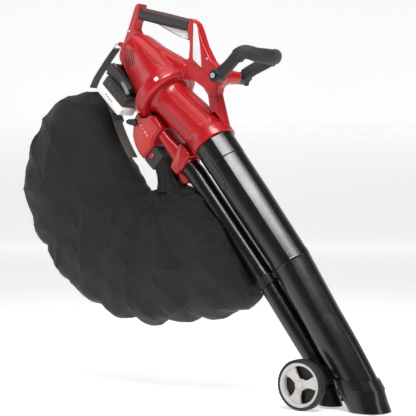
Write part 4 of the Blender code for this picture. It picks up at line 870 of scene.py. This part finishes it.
def makeGrip():
    # a barrel: both half sizes swell by a sine between the posts and draw in at both ends
    share = np.linspace(0, 1, 120)
    start, end = np.array(grip["start"]), np.array(grip["end"])
    ahead = unit(end - start)
    rise = squareTo(ahead)
    ends = 0.05 * np.exp(-share / 0.02) + 0.05 * np.exp((share - 1) / 0.02)
    swell = 1 + 0.045 * np.sin(np.pi * share) - ends
    centres = start + (end - start) * (0.003 + 0.994 * share)[:, None]
    grid = superRings(centres, rise, across, grip["high"] * swell, grip["wide"] * swell, 2.3, 64)
    mesh = gridMesh("grip sleeve", capped(grid))
    addPiece("rear_grip_sleeve", mesh, softBlack, instead=("grip_sleeve",))
    beads = []
    for out in (-1, 1):
        route = centres[6:-6] + rise * (grip["high"] * grip["beadLift"] * swell[6:-6])[:, None]
        route = route + across * (out * grip["wide"] * grip["beadOut"] * swell[6:-6])[:, None]
        beads.append(barMesh("bead", route, grip["bead"], grip["bead"], sides=10))
    addPiece("grip_beads", joined("grip beads", beads), red)


makeGrip()

trigger = {"outline": ((-0.018, -0.0005), (-0.018, -0.011), (0.028, -0.0350), (0.072, -0.0565),
                       (0.0795, -0.0565), (0.0800, -0.036), (0.040, -0.0165), (0.000, -0.0015)),
           "half": 0.0054, "blade": ((-0.0165, -0.0125), (0.004, -0.0235), (0.028, -0.0358),
                                     (0.052, -0.0474),
                     (0.0785, -0.0575))}


def makeTrigger():
    # a slab of the outline and a thin black bar along its lower edge, painted shade on the trigger's
    # underside
    mesh = slabMesh("trigger", rounded(trigger["outline"], 0.004), -trigger["half"], trigger["half"],
                    0.0016)
    addPiece("trigger_lever", mesh, lightGrey, "trigger", ("trigger",))
    # the black bar is painted shade under the trigger's lower edge
    edge = smoothRows([(x, 0, z) for x, z in trigger["blade"]], 40)
    mesh = barMesh("trigger blade", edge, trigger["half"] + 0.0004, 0.0011, 2.4, 20)
    addPiece("trigger_blade", mesh, satinBlack, "trigger")


makeTrigger()

trim = {"outline": ((0.1045, -0.016), (0.1125, -0.020), (0.1180, -0.036), (0.1250, -0.075),
                    (0.1290, -0.117), (0.1300, -0.134), (0.1030, -0.111), (0.1035, -0.075)),
        "thick": 0.0016, "inner": 0.0149, "face": 0.0150}


def makeTrims():
    # a slab of the outline on each side of the post
    for name, out in (("right", -1), ("left", 1)):
        low, high = sorted((out * trim["inner"], out * (trim["face"] + trim["thick"])))
        mesh = slabMesh("post trim", rounded(trim["outline"], 0.003), low, high, 0.0008)
        addPiece(f"post_inlay_{name}", mesh, lightGrey,
                 instead=(f"post_trim_{name}",))


makeTrims()

second = {"pivot": (0.205, 0, -0.161), "reach": (0.095, 0, 0.053), "arm": 0.0520, "grip": 0.0760,
          "bow": 0.030, "radius": 0.0138, "sleeve": 0.0022, "face": 0.0665}


def secondPath(count):
    # a smooth curve through mirrored knots, from one boss round to the other
    pivot, reach = np.array(second["pivot"]), np.array(second["reach"])
    bow = unit((1, 0, -0.25)) * second["bow"]
    arm, wide = second["arm"], second["grip"]
    knots = [(pivot + reach * 0.10, arm), (pivot + reach * 0.40, arm + 0.005),
             (pivot + reach * 0.80, wide - 0.003), (pivot + reach * 1.02, wide - 0.010),
             (pivot + reach + bow * 0.72, wide * 0.56), (pivot + reach + bow, 0)]
    right = [point - across * out for point, out in knots]
    left = [point + across * out for point, out in knots[-2::-1]]
    return smoothRows(right + left, count)


def makeSecondHandle():
    # a bar whose radius grows over the padded middle and rounds off at its ends, and a turned boss each
    # side
    path = secondPath(220)
    share = np.linspace(-1, 1, len(path))
    body = np.clip((0.60 - np.abs(share)) / 0.02, 0, 1)
    radius = second["radius"] + second["sleeve"] * body + 0.0009 * np.cos(share * 9) * body
    ends = np.sqrt(np.clip(1 - ((np.abs(share) - 0.96) / 0.04).clip(0, 1) ** 2, 0.05, 1))
    grid = sweptGrid(path, radius * ends * 1.16, radius * ends, 2.2, 48, first=(0.3, 0.0, 1.0))
    bosses = []
    for out in (-1, 1):
        r, low, high = 0.0163, 0.0368, second["face"]
        rim = [(0.0043, low), (r - 0.001, low), (r, low + 0.001), (r, high - 0.003), (r - 0.003, high),
               (0.009, high), (0.0085, high - 0.001), (0.0043, high - 0.001)]
        bosses.append(ringMesh("boss", rim, second["pivot"], across * out, 48))
    loop = gridMesh("second handle", capped(grid))
    addPiece("second_handle_loop", loop, padGrip, "second_handle",
             ("aux_handle", "aux_grip"))
    addPiece("second_handle_bosses", joined("bosses", bosses), satinBlack, "second_handle")


makeSecondHandle()

hub = {"radius": 0.0172, "half": 0.0362}


def makeHub():
    # a turned drum between the bosses, raised in the middle
    r, h = hub["radius"], hub["half"]
    rim = [(0.0046, -h), (r - 0.002, -h), (r, -h + 0.002), (r, -0.019), (r + 0.0012, -0.0178),
           (r + 0.0012, 0.0178), (r, 0.019), (r, h - 0.002), (r - 0.002, h), (0.0046, h)]
    mesh = ringMesh("pivot hub", rim, second["pivot"], across, 64)
    addPiece("pivot_hub", mesh, red)


makeHub()
print("handles done")

# ------- battery packs and deck

packs = {"start": -0.162, "length": 0.096, "top": -0.0603, "shoe": 0.028, "high": 0.054, "middle": 0.048,
         "half": 0.031}


def packSlab(name, along, fore, out, corner, edge):
    # a rounded box between two limits in each direction of the fan
    outline = rounded([(along[0], fore[0]), (along[1], fore[0]), (along[1], fore[1]), (along[0], fore[1])],
                      corner)
    return slabMesh(name, outline, *out, edge, fanCentre, fanAxes)


def makePacks():
    # on each side a ribbed shoe, a case with a lip, and level marks in a row
    a, b = packs["start"], packs["start"] + packs["length"]
    top, split, low = packs["top"], packs["top"] - packs["shoe"] - 0.0003, packs["top"] - packs["high"]
    for name, sign in (("right", -1), ("left", 1)):
        out = (sign * packs["middle"] - packs["half"], sign * packs["middle"] + packs["half"])
        shoe = packSlab("shoe", (a + 0.0005, b - 0.0005), (split + 0.0005, top - 0.0004), out, 0.004, 0.003)
        ribs = [packSlab("shoe rib", (a + 0.012 + 0.016 * k, a + 0.016 + 0.016 * k),
                         (split + 0.006, top - 0.005), (out[0] - 0.0007, out[1] + 0.0007), 0.001,
                         0.0006) for k in range(5)]
        addPiece(f"pack_shoe_{name}_shell", joined("pack shoe", [shoe, *ribs]), darkGrey, f"pack_{name}",
                 (f"pack_shoe_{name}",))
        case = packSlab("case", (a - 0.0055, b + 0.0055), (low, split - 0.0003), out, 0.006, 0.004)
        lip = packSlab("case lip", (a - 0.003, b + 0.003), (low + 0.009, low + 0.0105),
                       (out[0] - 0.0005, out[1] + 0.0005), 0.0004, 0.0003)
        addPiece(f"pack_case_{name}_shell", joined("pack case", [case, lip]), packGrey, f"pack_{name}",
                 (f"pack_case_{name}",))
        near = out[0] if sign < 0 else out[1]
        spots = sorted((near - sign * 0.0002, near + sign * 0.0006))
        rows = [packSlab("level mark", (a + 0.030 + 0.009 * k, a + 0.035 + 0.009 * k),
                         (low + 0.013, low + 0.016), spots, 0.0008, 0.0003) for k in range(4)]
        addPiece(f"pack_marks_{name}", joined("pack marks", rows), darkGrey, f"pack_{name}")
        dress(f"pack_button_{name}", darkGrey)


makePacks()


deck = {"route": ((-0.186, -0.040), (-0.150, -0.044), (-0.112, -0.049), (-0.080, -0.056)),
        "spread": (0.0500, 0.0580, 0.0640, 0.0690), "half": (0.0035, 0.0058)}


def makeDeck():
    # a round band each side, at a distance from the middle that grows along the deck; its grey is a painted
    # highlight
    dress("battery_deck", darkGrey)
    path = smoothRows([fanAt(along, fore) for along, fore in deck["route"]], 40)
    bands = []
    for out in (-1, 1):
        offset = np.interp(np.linspace(0, 1, 40), np.linspace(0, 1, 4), deck["spread"])
        bands.append(barMesh("deck highlight stripe", path + across * (out * offset)[:, None], *deck["half"], 3.0, 24))
    addPiece("deck_highlight_stripes", joined("deck highlight stripes", bands), deckHighlightGrey)


makeDeck()
print("packs done")

# ------- wheels

wheel = {"centre": (0.476, 0, -0.921), "radius": 0.062, "hub": 0.0545, "side": 0.078, "half": 0.013,
         "spokes": 3, "treads": 44, "turn": 10.0}


def makeWheels():
    # on each side a turned tyre with blocks at equal angles, a face, a back and a cap
    centre = np.array(wheel["centre"])
    for name, sign in (("right", -1), ("left", 1)):
        out = across * sign
        base = centre + out * wheel["side"]
        h, r, inner = wheel["half"], wheel["radius"], wheel["hub"] + 0.0003
        rim = [(inner, -h), (r - 0.004, -h), (r - 0.001, -h + 0.002), (r, -h + 0.005), (r, h - 0.005),
               (r - 0.001, h - 0.002), (r - 0.004, h), (inner, h)]
        tyre = ringMesh("tyre", rim, base, out, 96)
        ring = turnedGrid([(1.0, 0.0)], np.zeros(3), out, wheel["treads"])[0]
        blocks = []
        for spoke in ring:
            along = np.cross(out, spoke)
            outline = [(-0.0026, -h + 0.003), (0.0026, -h + 0.003), (0.0026, h - 0.003),
                       (-0.0026, h - 0.003)]
            blocks.append(slabMesh("tread", outline, r - 0.0010, r + 0.0004, 0.0003, base,
                                   (along, out, spoke)))
        addPiece(f"tyre_{name}_treaded", joined("tyre", [tyre, *blocks]), tyreRubber, f"wheel_{name}",
                 (f"tyre_{name}",))
        addPiece(f"wheel_{name}_rim", wheelFace(base, out), wheelGrey, f"wheel_{name}",
                 (f"wheel_hub_{name}",))
        dark = [(0.012, -0.0085), (wheel["hub"] - 0.006, -0.0085), (wheel["hub"] - 0.006, -0.0060),
                (0.012, -0.0060)]
        mesh = ringMesh("wheel back", dark, base, out, 64)
        addPiece(f"wheel_{name}_back", mesh, satinBlack, f"wheel_{name}")
        cap = [(0.0, 0.0142), (0.0070, 0.0142), (0.0086, 0.0134), (0.0092, 0.0118), (0.0092, 0.0100),
               (0.0, 0.0100)]
        mesh = gridMesh("hub cap", turnedGrid(cap, base, out, 48))
        addPiece(f"hub_cap_{name}_dome", mesh, wheelGrey,
                 instead=(f"hub_cap_{name}",))


def wheelFace(base, out):
    # an outer ring, a middle boss and three spokes that widen towards the ring
    r = wheel["hub"]
    ring = [(r - 0.0090, 0.0030), (r - 0.0078, -0.011), (r, -0.0122), (r, 0.0118), (r - 0.0012, 0.0126),
            (r - 0.0052, 0.0122), (r - 0.0075, 0.0100)]
    boss = [(0.0056, -0.0125), (0.0135, -0.0125), (0.0145, 0.0070), (0.0130, 0.0095), (0.0056, 0.0095)]
    shapes = [ringMesh("ring", ring, base, out, 96),
              ringMesh("boss", boss, base, out, 64)]
    for k in range(wheel["spokes"]):
        turn = math.radians(wheel["turn"] + 360 / wheel["spokes"] * k)
        spoke = np.array([math.cos(turn), 0, math.sin(turn)])
        along = np.cross(out, spoke)
        outline = rounded([(-0.0085, 0.008), (0.0085, 0.008), (0.0100, 0.026), (0.0190, r - 0.008),
                           (-0.0190, r - 0.008), (-0.0100, 0.026)], 0.004)
        shapes.append(slabMesh("spoke", outline, 0.0010, 0.0085, 0.0015, base, (along, spoke, out)))
    return joined("wheel rim", shapes)


makeWheels()
print("wheels done")

# ------- bag, neck and straps

bag = {"stations": ((-0.250, -0.190, 0.034, -180), (-0.276, -0.226, 0.090, -180),
                    (-0.300, -0.312, 0.148, -176), (-0.292, -0.430, 0.194, -164),
                    (-0.228, -0.540, 0.198, -148), (-0.126, -0.603, 0.208, -126),
                    (-0.004, -0.626, 0.204, -108), (0.112, -0.624, 0.176, -94), (0.206, -0.640, 0.124, -78),
                    (0.262, -0.664, 0.062, -64)),
       "thick": 0.083, "pinch": (0.004, 0, -0.445), "voxel": 0.0075, "frames": 18, "pressure": 3.0,
       "grow": -0.05, "cap": 0.014, "shrink": 0.985, "clear": 0.0025, "tubeRoom": 0.057, "ductRoom": 0.032}


def bagGrid(count=150, sides=150):
    # the stations of middle, half breadth and breadth direction, smoothly joined and superelliptic across
    rows = smoothRows([(x, 0, z, half * bag["shrink"], math.radians(turn))
                       for x, z, half, turn in bag["stations"]], count)
    out = np.stack([np.cos(rows[:, 4]), 0 * rows[:, 4], np.sin(rows[:, 4])], 1)
    thick = np.minimum(rows[:, 3] * 0.62 + 0.004, bag["thick"])
    grid = superRings(rows[:, :3], out, across, rows[:, 3], thick, 2.1, sides)
    return foldBag(grid)


def foldBag(grid):
    # pleats that fan out from the gathered neck: a sine of the angle round the pinch, dying away with
    # distance, and slack waves along the lower rim
    pinch = np.array(bag["pinch"])
    away = grid - pinch
    distance = np.linalg.norm(away, axis=2)
    angle = np.arctan2(away[..., 2], away[..., 0])
    middle = grid.mean(1, keepdims=True)
    out = grid - middle
    out /= np.linalg.norm(out, axis=2, keepdims=True) + 1e-9
    pleats = np.sin(angle * 17 + 1.3 * np.sin(angle * 5)) * np.exp(-distance / 0.10) * 0.011
    pleats += np.sin(angle * 9 + 2.0) * np.exp(-((distance - 0.15) / 0.11) ** 2) * 0.0045
    x, y, z = (grid[..., k] for k in range(3))
    slack = np.sin(x * 46 + z * 31 + 0.6) * np.sin(z * 39 - y * 22)
    rim = np.sin(angle * 22 + 0.7) * np.clip((distance - 0.26) / 0.1, 0, 1) * 0.0035
    return grid + out * (pleats + slack * 0.0035 + rim)[..., None]


def simulated(mesh):
    # the closed shell takes on air for a few frames, with a little more cloth than it needs; moves are
    # capped
    piece = bpy.data.objects.new("bag draft", mesh)
    bpy.context.scene.collection.objects.link(piece)
    remesh = piece.modifiers.new("even cloth", "REMESH")
    remesh.mode = "VOXEL"
    remesh.voxel_size = bag["voxel"]
    applied(piece)
    count = len(piece.data.vertices)
    rest = np.empty(count * 3)
    piece.data.vertices.foreach_get("co", rest)
    cloth = piece.modifiers.new("cloth", "CLOTH")
    cloth.settings.quality = 4
    cloth.settings.use_pressure = True
    cloth.settings.uniform_pressure_force = bag["pressure"]
    cloth.settings.shrink_min = bag["grow"]
    cloth.settings.tension_stiffness = 8
    cloth.settings.bending_stiffness = 0.05
    cloth.settings.effector_weights.gravity = 0
    cloth.collision_settings.use_collision = False
    cloth.point_cache.frame_end = bag["frames"]
    for step in range(1, bag["frames"] + 1):
        bpy.context.scene.frame_set(step)
    applied(piece)
    bpy.context.scene.frame_set(1)
    moved = np.empty(count * 3)
    piece.data.vertices.foreach_get("co", moved)
    rest, moved = rest.reshape(-1, 3), moved.reshape(-1, 3)
    step = moved - rest
    length = np.linalg.norm(step, axis=1, keepdims=True)
    held = rest + step * np.minimum(1, bag["cap"] / np.maximum(length, 1e-9))
    piece.data.vertices.foreach_set("co", held.reshape(-1))
    divide = piece.modifiers.new("finer", "SUBSURF")
    divide.levels = divide.render_levels = 1
    applied(piece)
    done = piece.data
    bpy.data.objects.remove(piece)
    done.shade_smooth()
    return done


def pushedOff(points, start, end, room):
    # points nearer a straight line than the room are moved square away from it to that distance
    start, run = np.asarray(start, float), np.asarray(end, float) - np.asarray(start, float)
    share = np.clip((points - start) @ run / (run @ run), 0, 1)[:, None]
    away = points - (start + run * share)
    distance = np.linalg.norm(away, axis=1, keepdims=True)
    return np.where(distance < room, points + away * (room / np.maximum(distance, 1e-6) - 1), points)


wrinkles = {"radial": ((19, 0.4, 0.0075, 0.10), (11, 2.1, 0.0100, 0.20), (31, 1.0, 0.0030, 0.24)),
            "crossing": ((31, 12, 24, 0.3, 0.0065), (-22, 30, 38, 1.7, 0.0055), (55, -26, 14, 2.6, 0.0038),
                         (12, 44, -58, 4.0, 0.0032), (85, 20, 70, 5.1, 0.0020))}


def wrinkled(points, normals):
    # sharp-topped folds: a height of (1 - |sine|) squared, out along the surface; radial ones count the
    # angle round the pinch and fade with distance from it, crossing ones run on bent planes
    away = points - np.array(bag["pinch"])
    distance = np.linalg.norm(away, axis=1)
    angle = np.arctan2(away[:, 2], away[:, 0])
    height = np.zeros(len(points))
    for count, phase, deep, reach in wrinkles["radial"]:
        bend = 0.5 * np.sin(distance * 17 + count) + 0.3 * np.sin(points[:, 1] * 30)
        fold = 1 - np.abs(np.sin(angle * count / 2 + phase + bend))
        height += deep * (fold ** 2 - 0.3) * np.exp(-distance / reach) * np.clip(distance / 0.02, 0, 1)
    for x, y, z, phase, deep in wrinkles["crossing"]:
        bend = 0.9 * np.sin(points @ np.array([z, x, y]) * 0.5 + phase)
        fold = 1 - np.abs(np.sin(points @ np.array([x, y, z]) * 0.5 + phase + bend))
        patch = 0.5 + 0.5 * np.sin(points @ np.array([y, z, x]) * 0.35 + phase * 2)
        height += deep * (fold ** 3 - 0.2) * patch
    return points + normals * height[:, None]


def makeBag():
    # the simulated cloth, folded and then moved clear of the tubes and the duct
    mesh = simulated(gridMesh("leaf bag", capped(bagGrid())))
    points, normals = np.empty(len(mesh.vertices) * 3), np.empty(len(mesh.vertices) * 3)
    mesh.vertices.foreach_get("co", points)
    mesh.vertices.foreach_get("normal", normals)
    points = wrinkled(points.reshape(-1, 3), normals.reshape(-1, 3))
    for _ in range(3):
        points = pushedOff(points, blowTube["top"], blowTube["middle"], blowTube["radius"] + bag["clear"])
        points = pushedOff(points, blowTube["middle"], blowTube["low"], blowTube["radius"] + bag["clear"])
        points = pushedOff(points, tubeOrigin + tubeDown * 0.15, jointPoint, bag["tubeRoom"] + bag["clear"])
        points = pushedOff(points, fanAt(0.05, -0.080), fanAt(0.166, -0.086),
                           bag["ductRoom"] + bag["clear"])
    mesh.vertices.foreach_set("co", points.reshape(-1))
    return addPiece("leaf_bag_cloth", mesh, bagCloth, instead=("leaf_bag",),
                    tidy=False)


bagPiece = makeBag()
print("bag done", len(bagPiece.data.polygons))

neck = {"rows": ((0.0, 0.0235, 0.036, 4.0), (0.014, 0.0240, 0.036, 3.2), (0.030, 0.0260, 0.034, 2.6),
                 (0.056, 0.0340, 0.034, 2.2), (0.084, 0.0470, 0.042, 2.0)), "pleats": 15, "deep": 0.0030,
        "aside": 0.024}


def makeNeck():
    # from the square adaptor to the gathered pinch, with pleats that deepen towards the pinch
    rows = smoothRows(neck["rows"], 60)
    top = fanAt(0.1005, -0.1335)
    pinch = np.array(bag["pinch"]) + np.array([neck["aside"], 0, -0.012])
    share = rows[:, :1] / neck["rows"][-1][0]
    centres = top + (pinch - top) * share
    first = fanFore * (1 - share) + level * share
    first /= np.linalg.norm(first, axis=1, keepdims=True)
    grid = superRings(centres, first, across, rows[:, 1], rows[:, 2], rows[:, 3], 180)
    turn = np.linspace(0, 2 * np.pi, 180, endpoint=False)[None, :]
    out = grid - centres[:, None]
    out /= np.linalg.norm(out, axis=2, keepdims=True)
    wave = np.sin(turn * neck["pleats"] + 2.2 * np.sin(turn * 3)) * np.clip(share * 1.6, 0, 1)
    grid = grid + out * (wave * neck["deep"])[..., None]
    addPiece("bag_neck_cloth", gridMesh("bag neck", capped(grid)), bagCloth, angle=80)


makeNeck()

strap = {"half": 0.0150, "thick": 0.0012,
         "shoulder": ((-0.1665, -0.0665), (-0.190, -0.090), (-0.214, -0.117), (-0.238, -0.146),
                      (-0.252, -0.170))}


def bandGrid(path, half, thick):
    # a flat band: thickness along the normal of the route, width across the machine
    return sweptGrid(path, half, thick, 5.0, 28)


def makeStraps():
    # a flat band along a smooth route; the edge strap and buckle keep their CAD shape
    route = smoothRows([(x, 0, z) for x, z in strap["shoulder"]], 60)
    mesh = gridMesh("shoulder strap", capped(bandGrid(route, strap["half"], strap["thick"])))
    addPiece("shoulder_strap_web", mesh, strapWeb, instead=("shoulder_strap",))
    dress("bag_edge_strap", paleWeb)
    dress("strap_buckle", satinBlack)


makeStraps()

badge = {"along": (-0.037, -0.026), "turn": -62.0, "half": 0.0055}


def makeBadge():
    # a small blank square that lies on the casing's round rim
    turn = math.radians(badge["turn"])
    out = fanFore * math.cos(turn) + across * math.sin(turn)
    sideways = np.cross(fanDown, out)
    h = badge["half"]
    outline = rounded([(badge["along"][0], -h), (badge["along"][1], -h), (badge["along"][1], h),
                       (badge["along"][0], h)], 0.001)
    mesh = slabMesh("badge", outline, casing["radius"] - 0.0006, casing["radius"] + 0.0006, 0.0003,
                    fanCentre, (fanDown, sideways, out))
    addPiece("blank_badge", mesh, lightGrey)


makeBadge()
print("straps done")

# ------- studio

studio = {"target": (0.140, 0.0, -0.498), "azimuth": 36.0, "elevation": 1.0, "distance": 3.6, "lens": 119.8,
          "room": 14.0, "wall": 8.5, "bend": 1.2, "high": 8.0, "world": 0.12,
          "lights": (("front softbox", (0.45, -0.42, 0.80), 2.6, (1.3, 0.9), 74),
                     ("left softbox", (-0.9, -0.75, 0.35), 2.8, (1.0, 1.8), 16),
                     ("right softbox", (1.0, 0.25, 0.25), 2.8, (0.7, 2.2), 16),
                     ("top softbox", (-0.1, 0.1, 1.0), 2.6, (2.2, 2.2), 26))}


def stageFloor():
    # a floor that curves up behind into a wall: a quarter circle between two straight runs
    turn = np.linspace(0, np.pi / 2, 24)
    bend = studio["bend"]
    y = np.concatenate([[-studio["room"], 0.0], studio["wall"] + bend * np.sin(turn),
                        [studio["wall"] + bend]])
    z = np.concatenate([[0.0, 0.0], bend - bend * np.cos(turn), [studio["high"]]])
    azimuth = math.radians(studio["azimuth"])
    away = np.array([-math.sin(azimuth), math.cos(azimuth), 0])
    beside = np.array([math.cos(azimuth), math.sin(azimuth), 0])
    x = np.array([-studio["room"], studio["room"]])
    grid = (y[:, None, None] * away + z[:, None, None] * np.array([0, 0, 1.0]) + x[None, :, None] * beside
            + np.array([0, 0, lines["ground"] - 0.0005]))
    mesh = gridMesh("studio floor", grid, loopColumns=False)
    made = Finish("studio paper", Roughness=0.9, Specular_IOR_Level=0.1, Emission_Strength=0.6)
    tone = made.mixed(made.noise(0.8), (0.86, 0.86, 0.86), (0.90, 0.90, 0.90))
    made.feed("Base Color", tone).feed("Emission Color", tone)
    mesh.materials.append(made.material)
    floor = bpy.data.objects.new("studio_floor", mesh)
    bpy.context.scene.collection.objects.link(floor)


def addLight(name, direction, distance, size, power):  # a white rectangle of light that faces the target
    data = bpy.data.lights.new(name, "AREA")
    data.shape, data.size, data.size_y, data.energy = "RECTANGLE", *size, power
    lamp = bpy.data.objects.new(name, data)
    bpy.context.scene.collection.objects.link(lamp)
    target = Vector(studio["target"])
    lamp.location = target + Vector(direction).normalized() * distance
    lamp.rotation_euler = (target - lamp.location).to_track_quat("-Z", "Y").to_euler()


def setStudio():
    # floor, lights, even air and a camera on a sphere round the target
    stageFloor()
    for light in studio["lights"]:
        addLight(*light)
    world = bpy.data.worlds.new("studio air")
    bpy.context.scene.world = world
    world.use_nodes = True
    world.node_tree.nodes["Background"].inputs[0].default_value = (1, 1, 1, 1)
    world.node_tree.nodes["Background"].inputs[1].default_value = studio["world"]
    azimuth, rise = math.radians(studio["azimuth"]), math.radians(studio["elevation"])
    back = Vector((math.sin(azimuth) * math.cos(rise), -math.cos(azimuth) * math.cos(rise), math.sin(rise)))
    data = bpy.data.cameras.new("camera")
    data.lens, data.sensor_width, data.clip_end = studio["lens"], 36.0, 60.0
    camera = bpy.data.objects.new("camera", data)
    bpy.context.scene.collection.objects.link(camera)
    camera.location = Vector(studio["target"]) + back * studio["distance"]
    camera.rotation_euler = (-back).to_track_quat("-Z", "Y").to_euler()
    bpy.context.scene.camera = camera
    bpy.context.scene.view_settings.view_transform = "Standard"


setStudio()
print("studio done")
